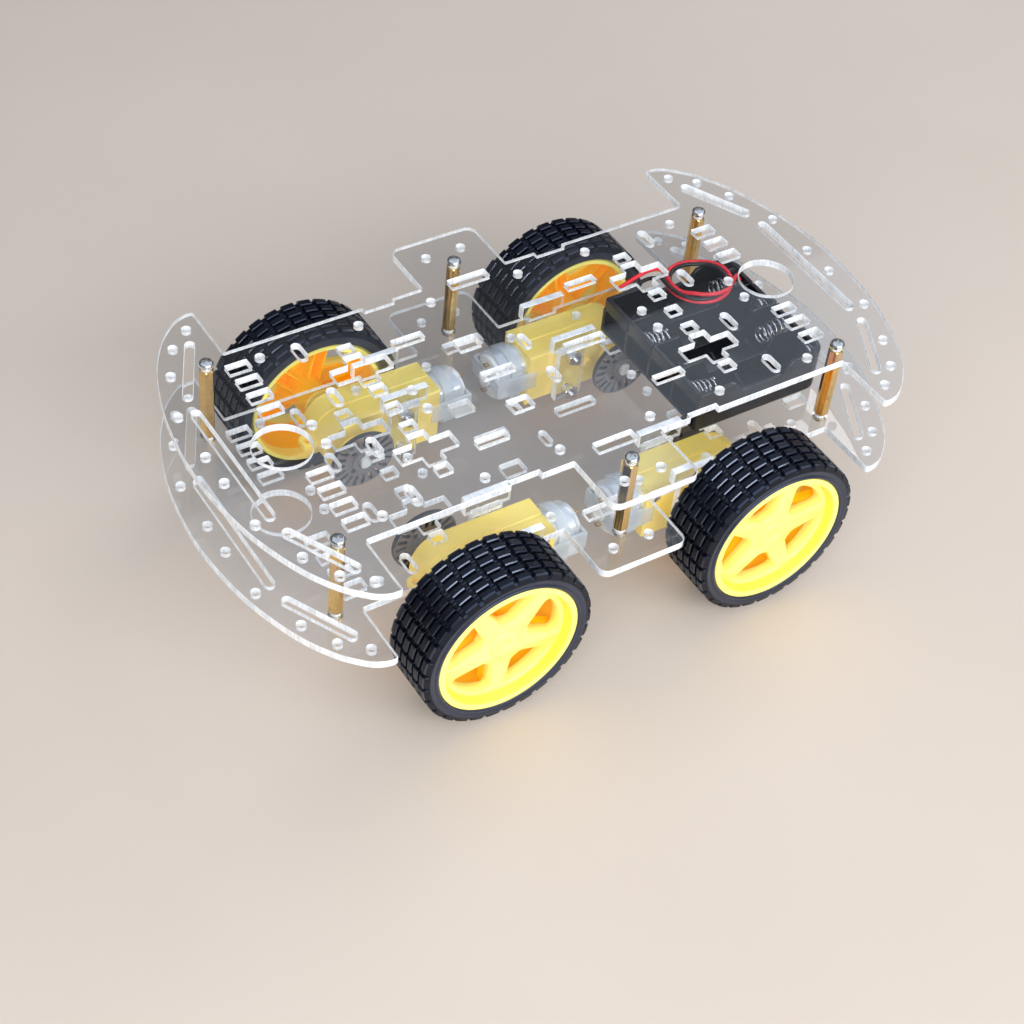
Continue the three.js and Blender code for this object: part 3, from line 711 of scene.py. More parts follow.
# ---------------------------------------------------------------- fasteners
def phillips(B, R, h, n=32, xf=None, mat=0):
    """Pan head with a cross recess cut as real geometry: h high, radius R, on z=0."""
    rows = [(R, 0.0), (R, h * 0.42), (R * 0.97, h * 0.58), (R * 0.88, h * 0.77), (R * 0.72, h * 0.92), (R * 0.62, h * 0.97)]
    verts, faces = [], []
    for r, z in rows:
        for i in range(n):
            t = 2 * math.pi * i / n
            verts.append((r * math.cos(t), r * math.sin(t), z))
    # inner rim follows the cross outline
    a, w = R * 0.56, R * 0.15
    def cross_r(t):
        best = 0.0
        for k in range(4):
            d = (t - k * math.pi / 2 + math.pi) % (2 * math.pi) - math.pi
            c, s = math.cos(d), abs(math.sin(d))
            if c > 0:
                best = max(best, min(a / c, w / s if s > 1e-6 else 1e9))
        return best
    for z, q in ((h, 1.0), (h * 0.52, 0.80)):
        for i in range(n):
            t = 2 * math.pi * i / n
            r = cross_r(t) * q
            verts.append((r * math.cos(t), r * math.sin(t), z - 0.02 * h * (r / R)))
    for k in range(len(rows) + 1):
        for i in range(n):
            j = (i + 1) % n
            faces.append((k * n + i, k * n + j, (k + 1) * n + j, (k + 1) * n + i))
    verts.append((0, 0, h * 0.40))
    c = len(verts) - 1
    L = (len(rows) + 1) * n
    for i in range(n):
        faces.append((L + i, L + (i + 1) % n, c))
    verts.append((0, 0, 0))
    for i in range(n):
        faces.append((len(verts) - 1, (i + 1) % n, i))
    B.add(verts, faces, mat, False, xf)


def threads(B, r, z0, z1, pitch=0.5, n=16, xf=None, mat=0):
    """Ridged shank from z0 down to z1."""
    prof = [(0.0, z0), (r, z0)]
    z = z0 - 0.3
    while z > z1 + pitch:
        prof += [(r, z), (r - 0.22, z - pitch / 2)]
        z -= pitch
    prof += [(r - 0.1, z), (r - 0.35, z1), (0.0, z1)]
    B.lathe(prof, n, mat, True, xf)


def along_y(x, y, z, sgn):
    """Local +Z to world sgn*Y."""
    return Matrix(((1, 0, 0, x), (0, 0, sgn, y), (0, -sgn, 0, z), (0, 0, 0, 1))) if True else None


for tag, x, y in STANDOFFS:
    spin = Matrix.Rotation(math.radians((x * 7 + y * 13) % 90), 4, "Z")
    B = Build()
    phillips(B, 2.8, 2.0, 40, Matrix.Translation((x, y, UPT + 0.02)) @ spin)
    threads(B, 1.45, UPT + 0.02, UPT - 9.6, xf=Matrix.Translation((x, y, 0)))
    o = B.make(f"deck_screw_top_{tag}", [M["steel"]])
    shade_by_angle(o, 32)
    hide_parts(f"deck_screw_{tag}")
    B = Build()
    dn = Matrix.Translation((x, y, LO - 0.02)) @ Matrix.Rotation(math.pi, 4, "X") @ spin
    phillips(B, 2.8, 2.0, 40, dn)
    threads(B, 1.45, 0, -9.0, xf=dn)
    o = B.make(f"deck_screw_bottom_{tag}", [M["steel"]])
    shade_by_angle(o, 32)
    # hex standoff: broken corners top and bottom, bored through
    B = Build()
    af = 2.5
    rc = af / math.cos(math.pi / 6)
    z0, z1 = LOT + 0.02, UP - 0.02
    verts, faces = [], []
    def hexring(r_cap, z):
        base = len(verts)
        for i in range(48):
            t = 2 * math.pi * i / 48 + math.pi / 6 * 0
            d = (t + math.pi / 6) % (math.pi / 3) - math.pi / 6
            r = min(af / math.cos(d), r_cap)
            verts.append((x + r * math.cos(t + math.pi / 6), y + r * math.sin(t + math.pi / 6), z))
        return base
    rows = [hexring(2.48, z0), hexring(rc + 0.1, z0 + 0.35), hexring(rc + 0.1, z1 - 0.35), hexring(2.48, z1)]
    def circ(r, z):
        base = len(verts)
        for i in range(48):
            t = 2 * math.pi * i / 48 + math.pi / 6
            verts.append((x + r * math.cos(t), y + r * math.sin(t), z))
        return base
    rows += [circ(1.75, z1), circ(1.6, z1 - 0.3), circ(1.6, z0 + 0.3), circ(1.75, z0)]
    for a, b in zip(rows, rows[1:] + rows[:1]):
        for i in range(48):
            j = (i + 1) % 48
            faces.append((a + i, a + j, b + j, b + i))
    B.add(verts, faces, 0, False)
    o = B.make(f"hex_standoff_{tag}", [M["brass"]])
    shade_by_angle(o, 20)
    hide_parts(f"standoff_{tag}")

# ---------------------------------------------------------------- brackets, bolts, nuts
def bracket_pts(bx):
    zb, zt = AX_Z - 12.6, LOT + 0.02
    p = [(bx - 5.9, zb), (bx + 5.9, zb), (bx + 5.9, zt), (bx + 9.6, zt), (bx + 9.6, zt + 6.2), (bx - 9.6, zt + 6.2), (bx - 9.6, zt), (bx - 5.9, zt)]
    return round_poly(p, 0.4, 2)


Y_UP = Matrix(((1, 0, 0, 0), (0, 0, -1, 0), (0, 1, 0, 0), (0, 0, 0, 1)))      # sheet plane (x, z), normal -Y
for name, sx, sy, stand in CORNERS:
    bx = sx * SLOT_X
    holes = [ring(bx, AX_Z + s * BOLT_DZ, 1.7, 20) for s in (-1, 1)]
    for kind, a, b in (("inner", GB_Y0 - 3.3, GB_Y0 - 0.3), ("outer", GB_Y1 + 0.3, GB_Y1 + 3.3)):
        a, b = (a, b) if sy > 0 else (-b, -a)
        o = sheet_from(f"motor_bracket_{kind}_{name}", bracket_pts(bx), holes, -b, -a, mats=[M["face"], M["edge_tee"]], xf=Y_UP)
        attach(o, "chassis")
        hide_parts(f"bracket_{kind}_{name}")
    for w, s in (("upper", 1), ("lower", -1)):
        z = AX_Z + s * BOLT_DZ
        B = Build()
        spin = Matrix.Rotation(math.radians((bx * 3 + z * 11) % 90), 4, "Z")
        y1 = GB_Y1 + 3.32
        xf = along_y(bx, sy * y1, z, sy)
        phillips(B, 2.75, 1.9, 40, xf @ spin)
        threads(B, 1.45, 0.0, -(y1 - 23.4), xf=xf)
        o = B.make(f"bolt_{w}_{name}", [M["steel"]])
        shade_by_angle(o, 32)
        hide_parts(f"motor_bolt_{w}_{name}")
        # hex nut on the inner end
        B = Build()
        vs, fs = [], []
        def hx(r_cap, yy, inner=None):
            base = len(vs)
            for i in range(36):
                t = 2 * math.pi * i / 36
                d = (t + math.pi / 6) % (math.pi / 3) - math.pi / 6
                r = inner if inner else min(2.75 / math.cos(d), r_cap)
                vs.append((bx + r * math.cos(t), sy * yy, z + r * math.sin(t)))
            return base
        rr = [hx(2.72, GB_Y0 - 3.32), hx(3.3, GB_Y0 - 3.6), hx(3.3, GB_Y0 - 5.4), hx(2.72, GB_Y0 - 5.7), hx(0, GB_Y0 - 5.7, 1.6), hx(0, GB_Y0 - 3.32, 1.6)]
        for a, b in zip(rr, rr[1:] + rr[:1]):
            for i in range(36):
                j = (i + 1) % 36
                fs.append((a + i, a + j, b + j, b + i))
        B.add(vs, fs, 0, False)
        o = B.make(f"nut_{w}_{name}", [M["steel"]])
        shade_by_angle(o, 25)

# ---------------------------------------------------------------- wheels
PER = 30
GROOVE = 32.55
TREAD_PHASE = {"rear_right": math.radians(6.5), "front_right": math.radians(1.5), "rear_left": 0.37, "front_left": 0.74}
ROW_SHIFT = (0.0, 0.0, 0.07, 0.02, 0.0, -0.03)
CUTS = [0.0, 0.11, 0.15, 0.28, 0.5, 0.72, 0.85, 0.89]


def tread_height(row, u):
    """1 on top of a block, 0 in the gap; the cross grooves run straight from row to row."""
    return 1.0 if 0.149 <= u <= 0.851 else 0.0


def build_tyre(name, sx, sy, phase):
    ax = sx * AX_X
    xf = along_y(ax, sy * WHEEL_OUT, AX_Z, sy)
    # (w, r at the base, r on a block, row)
    prof = [(24.35, 28.05, None, None), (24.85, 28.35, None, None), (25.0, 29.2, None, None), (25.0, 30.4, None, None), (24.8, 31.5, None, None)]
    rows = [(20.95, 24.3), (16.9, 20.05), (12.95, 16.0), (9.0, 12.05), (4.95, 8.1), (0.65, 4.05)]
    for k, (a, b) in enumerate(rows):
        if k == 0:
            prof += [(b + 0.1, 32.1, 32.25, 0), (b - 0.25, 32.4, 33.72, 0), (b - 1.0, GROOVE, 33.98, 0), (a + 0.48, GROOVE, 34.0, 0), (a + 0.12, GROOVE, 33.66, 0), (a, GROOVE, None, None)]
        elif k == len(rows) - 1:
            prof += [(b, GROOVE, None, None), (b - 0.12, GROOVE, 33.66, k), (b - 0.48, GROOVE, 34.0, k), (a + 1.0, GROOVE, 33.98, k), (a + 0.25, 32.4, 33.72, k), (a - 0.1, 32.1, 32.25, k)]
        else:
            prof += [(b, GROOVE, None, None), (b - 0.12, GROOVE, 33.66, k), (b - 0.48, GROOVE, 34.0, k), (a + 0.48, GROOVE, 34.0, k), (a + 0.12, GROOVE, 33.66, k), (a, GROOVE, None, None)]
    prof += [(0.3, 31.5, None, None), (0.25, 30.9, None, None), (0.36, 30.3, None, None), (0.5, 29.85, None, None)]
    # rounded bead beside the rim
    prof += [(0.75 - 0.75 * math.sin(math.radians(q)), 28.8 + 0.75 * math.cos(math.radians(q)), None, None) for q in range(20, 161, 20)]
    n = PER * len(CUTS)
    verts, faces, mi = [], [], []
    for w, rb, rt, row in prof:
        for i in range(n):
            p, q = divmod(i, len(CUTS))
            u = CUTS[q]
            t = 2 * math.pi * (p + u + (ROW_SHIFT[row] if row is not None else 0.0)) / PER + phase
            r = rb
            if rt is not None:
                # the cut list brackets each wall: outer samples of a gap stay low
                hgt = 0.0 if row is None else tread_height(row, u)
                r = rb + (rt - rb) * hgt if row is not None else rb
            verts.append((r * math.cos(t), r * math.sin(t), -w))
    k = len(prof)
    first, last = 4, k - 12
    for a in range(k):
        b = (a + 1) % k
        for i in range(n):
            j = (i + 1) % n
            faces.append((a * n + i, a * n + j, b * n + j, b * n + i))
            # block bevels take the lighter, glossier painted-glint rubber
            edge = {prof[a][2], prof[b][2]} in ({33.66, 34.0}, {33.72, 33.98})
            # faces outside the tread rows take the lighter painted-sheen sidewall rubber
            mi.append(2 if edge else 0 if first <= a < last else 1)
    B = Build()
    B.v = [tuple(xf @ Vector(v)) for v in verts]
    B.f = [list(f) for f in faces]
    B.m = mi
    B.s = [False] * len(faces)
    o = B.make(f"treaded_tyre_{name}", [M["rubber"], M["side"], M["rubber_edge_painted_glint"]], body=f"wheel_set_{name}", weld=False)
    shade_by_angle(o, 24)
    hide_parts(f"tyre_{name}")


def star_windows(stand, sgn):
    wins = []
    for i in range(5):
        t0 = -sgn * math.radians(stand) + 2 * math.pi * i / 5
        loc = [(9.8, -2.1), (9.8, 2.1), (18.5, 9.7)]
        for k in range(7):
            a = math.radians(25.5 - 51.0 * k / 6)
            loc.append((22.4 * math.cos(a), 22.4 * math.sin(a)))
        loc.append((18.5, -9.7))
        loc = loc[:3] + loc[3:-1] + loc[-1:]
        loc = round_poly(loc, 1.1, 3)
        wins.append([(u * math.cos(t0) - v * math.sin(t0), u * math.sin(t0) + v * math.cos(t0)) for u, v in loc])
    return wins


def build_rim(name, sx, sy, stand):
    ax = sx * AX_X
    xf = along_y(ax, sy * WHEEL_OUT, AX_Z, sy)
    body = f"wheel_set_{name}"
    B = Build()
    # barrel with lip, turned in one piece
    prof = [(27.05, -24.0), (27.25, -23.6), (27.3, -22.9), (27.75, -22.5), (27.95, -22.0), (27.95, -20.4), (27.3, -19.6), (27.3, -4.4), (27.95, -3.6), (27.98, -0.9), (27.85, -0.35), (27.45, -0.05), (26.3, 0.0), (25.75, -0.12), (25.45, -0.5), (25.15, -1.4), (24.75, -3.1), (24.55, -3.9), (24.6, -9.4), (25.1, -10.8), (25.3, -18.9), (25.35, -23.6), (25.6, -24.0)]
    B.lathe([(r, h) for r, h in prof], 96, 0, True, xf)
    # hub tube at the back of the star, with a socket for the shaft
    B.lathe([(2.95, -25.0), (3.3, -25.4), (5.6, -25.4), (6.0, -25.0), (6.3, -9.0), (2.95, -9.0)], 40, 0, True, xf)
    o = B.make(f"rim_{name}", [M["rim"], M["rim_deep_painted_glow"], M["rim_wall"]], body=body)
    shade_by_angle(o, 38)
    for f in o.data.polygons:
        c = f.center / MM
        r = math.hypot(c.x - ax, c.z - AX_Z)
        depth = WHEEL_OUT - abs(c.y)
        # painted shade and glow: faces 5.6 to 19 mm deep inside the barrel take the orange glowing copy, the recessed
        # wall near the lip the deeper yellow painted-shade copy
        f.material_index = 1 if 5.6 < depth < 19.0 and r < 26.2 else (2 if r < 25.6 and 0.7 < depth < 5.6 else 0)
    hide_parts(f"wheel_{name}")
    # star face: five windows, eased edges
    mm_xf = xf.copy()
    mm_xf.translation = mm_xf.translation * MM
    star = sheet_from(f"rim_star_{name}", ring(0, 0, 24.7, 96), star_windows(stand, sy), -8.9, -3.5, bevel=0.45, mats=[M["rim"], M["rim_deep_painted_glow"]], xf=mm_xf)
    for f in star.data.polygons:
        # star faces more than 8 mm deep, its back, take the orange painted-glow copy
        f.material_index = 1 if WHEEL_OUT - abs(f.center.y) / MM > 8.0 else 0
    shade_by_angle(star, 50)
    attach(star, body)
    # low boss, ribs along the spokes behind the face, webs to the barrel
    B = Build()
    B.lathe([(0.0, -3.6), (1.55, -3.6), (1.75, -3.2), (2.3, -2.75), (5.2, -2.75), (5.9, -3.1), (6.3, -3.62), (6.3, -3.9), (0.0, -3.9)], 48, 0, True, xf)
    for i in range(5):
        t0 = -sy * math.radians(stand) + 2 * math.pi * (i + 0.5) / 5
        rot = Matrix.Rotation(t0, 4, "Z")
        for v0 in (-2.9, 2.3):
            vs = [(5.8, v0, -9.0), (24.9, v0, -9.0), (24.9, v0 + 0.6, -9.0), (5.8, v0 + 0.6, -9.0), (5.8, v0, -16.0), (24.9, v0, -11.5), (24.9, v0 + 0.6, -11.5), (5.8, v0 + 0.6, -16.0)]
            fs = [(0, 1, 2, 3), (7, 6, 5, 4), (0, 4, 5, 1), (1, 5, 6, 2), (2, 6, 7, 3), (3, 7, 4, 0)]
            B.add(vs, fs, 0, False, xf @ rot)
    o = B.make(f"rim_ribs_{name}", [M["rim"], M["rim_deep_painted_glow"]], body=body)
    shade_by_angle(o, 40)
    for f in o.data.polygons:
        # rib faces more than 5 mm deep take the orange painted-glow copy
        f.material_index = 1 if WHEEL_OUT - abs(f.center.y) / MM > 5.0 else 0


def build_encoder(name, sx, sy):
    ax = sx * AX_X
    body = f"wheel_set_{name}"
    xf = along_y(ax, 0, AX_Z, sy)
    mm_xf = xf.copy()
    mm_xf.translation = mm_xf.translation * MM
    slots = []
    for i in range(20):
        t = 2 * math.pi * i / 20
        c, s = math.cos(t), math.sin(t)
        slots.append(capsule(8.6 * c, 8.6 * s, 11.7 * c, 11.7 * s, 0.62, 4))
    slots.append(ring(0, 0, 2.95, 24))
    for i in range(4):
        t = math.pi / 4 + math.pi / 2 * i
        slots.append(ring(6.0 * math.cos(t), 6.0 * math.sin(t), 0.9, 12))
    # the face takes the painted-reflection grey, the cut walls the painted-shade dark copy
    o = sheet_from(f"slotted_disc_{name}", ring(0, 0, 13.0, 96), slots, 21.75, 23.65, bevel=0.15, mats=[M["encoder"], M["encoder_edge_painted_shade"]], xf=mm_xf)
    shade_by_angle(o, 30)
    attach(o, body)
    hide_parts(f"encoder_disc_{name}")
    B = Build()
    B.lathe([(2.95, 20.3), (3.2, 20.2), (4.6, 20.2), (4.9, 20.5), (4.9, 25.9), (4.6, 26.2), (3.2, 26.2), (2.95, 26.0)], 36, 0, True, xf)
    o = B.make(f"disc_hub_{name}", [M["encoder"]], body=body)
    shade_by_angle(o, 40)


# ---------------------------------------------------------------- gear motors
def build_motor(name, sx, sy):
    ax = sx * AX_X
    d = -sx
    # local frame: u = distance from the axle towards the middle, v = height, w = outward
    G = Matrix(((d, 0, 0, ax), (0, 0, sy, 0), (0, 1, 0, AX_Z), (0, 0, 0, 1)))
    mmG = G.copy()
    mmG.translation = mmG.translation * MM

    def outline(inset=0.0):
        R = 11.25 - inset
        pts = [(38.0 - inset, -R), (38.0 - inset, R)]
        for i in range(19):
            t = math.pi / 2 + math.pi * i / 18
            pts.append((R * math.cos(t), R * math.sin(t)))
        return pts

    bolts = [ring(AX_X - SLOT_X, s * BOLT_DZ, 1.7, 20) for s in (-1, 1)]
    bore = [ring(0, 0, 2.95, 28)]
    for tag, w0, w1 in (("inner", GB_Y0, GB_MID - 0.12), ("outer", GB_MID + 0.12, GB_Y1)):
        o = sheet_from(f"gearbox_{tag}_half_{name}", outline(), bolts + bore, w0, w1, bevel=0.5, mats=[M["gear"], M["gear"]], xf=mmG)
        shade_by_angle(o, 40)
        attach(o, "chassis")
    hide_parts(f"gearbox_{name}")
    core = sheet_from(f"gearbox_seam_{name}", outline(0.45), bolts + bore, GB_MID - 0.6, GB_MID + 0.6, bevel=0.05, mats=[M["gear"], M["gear"]], xf=mmG)
    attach(core, "chassis")
    # lug with its hole, on the seam
    lug = sheet_from(f"gearbox_lug_{name}", round_poly([(-9.5, -4.2), (-9.5, 4.2), (-13.0, 3.6), (-16.3, 2.9), (-16.3, -2.9), (-13.0, -3.6)], 1.6, 4), [ring(-13.6, 0, 1.5, 20)], -1.35, 1.35, bevel=0.3, mats=[M["gear"], M["gear"]], xf=Matrix(((d, 0, 0, ax * MM), (0, 1, 0, sy * GB_MID * MM), (0, 0, 1, AX_Z * MM), (0, 0, 0, 1))))
    shade_by_angle(lug, 40)
    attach(lug, "chassis")
    # raised rings round the shaft, a peg, and three case screws on the outer face
    B = Build()
    for w0, sg in ((GB_Y1 - 0.1, 1), (GB_Y0 + 0.1, -1)):
        tr = G @ Matrix.Translation((0, 0, w0)) @ Matrix.Diagonal((1, 1, sg, 1))
        B.lathe([(2.95, 0), (2.95, 0.7), (3.3, 1.0), (4.4, 1.0), (4.75, 0.7), (4.75, 0)], 40, 0, True, tr)
    B.lathe([(0, GB_Y0 + 0.3), (2.0, GB_Y0 + 0.3), (2.0, GB_Y0 - 1.5), (1.7, GB_Y0 - 1.9), (0, GB_Y0 - 1.9)], 24, 0, True, G @ Matrix.Translation((10.9, 0, 0)))
    for u in (30.6, 33.4, 36.2):
        vs = []
        for ww in (GB_Y0 - 0.35, GB_Y1 + 0.0):
            pass
    o = B.make(f"gearbox_rings_{name}", [M["gear"]])
    shade_by_angle(o, 40)
    B = Build()
    for (u, v) in ((-2.0, 8.9), (-2.0, -8.9), (33.8, 8.6)):
        xf = G @ Matrix.Translation((u, v, GB_Y1 - 0.25))
        phillips(B, 1.75, 0.75, 28, xf @ Matrix.Rotation(0.4 + u, 4, "Z"))
    o = B.make(f"case_screws_{name}", [M["steel"]])
    shade_by_angle(o, 32)
    # can: round with two flats, rolled edge
    def can_ring(r, f, n=72):
        pts = []
        for i in range(n):
            t = 2 * math.pi * i / n
            c = math.cos(t)
            rr = min(r, f / abs(c)) if abs(c) > 1e-6 else r
            pts.append((rr * math.cos(t), rr * math.sin(t)))
        return pts

    def loft(B, secs, mat=0, smooth=True):
        """secs: (s along the motor, radius, flat) from the gearbox outwards; the flats face inward and outward."""
        n = 72
        vs, fs = [], []
        for s, r, f in secs:
            for (a, b) in can_ring(r, f, n):
                vs.append((ax + d * s, sy * GB_MID + a, AX_Z + b))
        for k in range(len(secs) - 1):
            for i in range(n):
                j = (i + 1) % n
                fs.append((k * n + i, k * n + j, (k + 1) * n + j, (k + 1) * n + i))
        fs.append(tuple(range(n)))
        fs.append(tuple(range((len(secs) - 1) * n, len(secs) * n)))
        B.add(vs, fs, mat, smooth)

    B = Build()
    loft(B, [(37.6, 9.9, 7.4), (47.6, 10.0, 7.5), (48.4, 10.0, 7.5), (48.9, 9.85, 7.38), (49.2, 9.5, 7.1), (49.25, 8.9, 6.6)])
    o = B.make(f"motor_can_{name}", [M["can"]])
    shade_by_angle(o, 30)
    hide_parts(f"motor_{name}")
    B = Build()
    loft(B, [(48.6, 8.8, 6.5), (50.2, 8.8, 6.5), (50.7, 8.5, 6.2), (50.8, 8.0, 5.8)])
    boss = Matrix(((0, 0, d, ax), (1, 0, 0, sy * GB_MID), (0, 1, 0, AX_Z), (0, 0, 0, 1)))
    B.lathe([(0, 50.5), (3.4, 50.5), (3.4, 52.3), (3.0, 52.8), (1.3, 52.8), (1.1, 52.5), (0, 52.4)], 32, 0, True, boss)
    o = B.make(f"motor_end_cap_{name}", [M["white"]])
    shade_by_angle(o, 35)
    B = Build()
    for sgn in (-1, 1):
        # brass tag with an eye
        zc = AX_Z + sgn * 6.3
        x0, x1 = ax + d * 50.6, ax + d * 53.1
        eye = capsule(0.9, 0, 1.5, 0, 0.45, 5)
        tag = sheet_from("t", rect(1.25, 0, 2.6, 2.3, 0.5), [eye], -0.2, 0.2, bevel=0.05)
        me = tag.data
        for v in me.vertices:
            B.v.append((x0 + d * v.co.x / MM, sy * GB_MID + v.co.y / MM, zc + v.co.z / MM))
        k = len(B.v) - len(me.vertices)
        for f in me.polygons:
            B.f.append([k + i for i in f.vertices])
            B.m.append(0)
            B.s.append(False)
        bpy.data.objects.remove(tag)
    o = B.make(f"motor_tags_{name}", [M["rivet"]])
    # translucent strap clipped over the can
    B = Build()
    n = 72
    vs, fs = [], []
    secs = [(40.6, 10.05, 7.55), (40.6, 11.0, 8.5), (45.2, 11.0, 8.5), (45.2, 10.05, 7.55)]
    for s, r, f in secs:
        for (a, b) in can_ring(r, f, n):
            vs.append((ax + d * s, sy * GB_MID + a, AX_Z + b))
    for k in range(4):
        for i in range(n):
            j = (i + 1) % n
            fs.append((k * n + i, k * n + j, ((k + 1) % 4) * n + j, ((k + 1) % 4) * n + i))
    B.add(vs, fs, 0, True)
    for sg in (-1, 1):
        # arms run along the flat sides from the gearbox to the back of the motor
        w0 = GB_MID + sg * 8.5
        w1 = GB_MID + sg * 9.75
        lo, hi = min(w0, w1), max(w0, w1)
        vs = [(34.5, -3.9, lo), (51.6, -3.9, lo), (51.6, 3.9, lo), (34.5, 3.9, lo), (34.5, -3.9, hi), (51.6, -3.9, hi), (51.6, 3.9, hi), (34.5, 3.9, hi)]
        B.add(vs, [(3, 2, 1, 0), (4, 5, 6, 7), (0, 1, 5, 4), (1, 2, 6, 5), (2, 3, 7, 6), (3, 0, 4, 7)], 0, False, G)
    band = sheet_from("t", round_poly([(-9.75, -3.9), (9.75, -3.9), (9.75, 3.9), (-9.75, 3.9)], 1.2, 4), [ring(0, 0, 3.7, 32)], 50.95, 52.15, bevel=0.2)
    k = len(B.v)
    for v in band.data.vertices:
        B.v.append(tuple(boss @ (v.co / MM)))
    for f in band.data.polygons:
        B.f.append([k + i for i in f.vertices])
        B.m.append(0)
        B.s.append(False)
    bpy.data.objects.remove(band)
    o = B.make(f"motor_strap_{name}", [M["strap"]], bevel=0.25, seg=2)
    shade_by_angle(o, 40)


def strap_mat():
    m, nt, out = new_mat("strap_translucent")
    p = nd(nt, "ShaderNodeBsdfPrincipled")
    v = coords(nt)
    link(nt, ramp(nt, noise_tex(nt, v, 240, 4), [(0.3, (0.80, 0.84, 0.86)), (0.7, (0.92, 0.94, 0.95))]), p.inputs["Base Color"])
    f = noise_tex(nt, v, 900, 3)
    link(nt, ramp(nt, f, [(0.3, grey(0.12)), (0.7, grey(0.28))]), p.inputs["Roughness"])
    link(nt, bump(nt, f, 0.012 * MM), p.inputs["Normal"])
    tr = nd(nt, "ShaderNodeBsdfTransparent", Color=(0.95, 0.97, 0.98, 1))
    mix = nt.nodes.new("ShaderNodeMixShader")
    link(nt, ramp(nt, noise_tex(nt, v, 120, 3), [(0.3, grey(0.42)), (0.7, grey(0.55))]), mix.inputs[0])
    link(nt, p.outputs[0], mix.inputs[1])
    link(nt, tr.outputs[0], mix.inputs[2])
    link(nt, mix.outputs[0], out.inputs["Surface"])
    return m


M["strap"] = strap_mat()
for i, (name, sx, sy, stand) in enumerate(CORNERS):
    build_tyre(name, sx, sy, TREAD_PHASE[name])
    build_rim(name, sx, sy, stand)
    build_encoder(name, sx, sy)
    build_motor(name, sx, sy)
    s = NODES[f"shaft_{name}"]
    s.data.materials.clear()
    s.data.materials.append(M["white"])

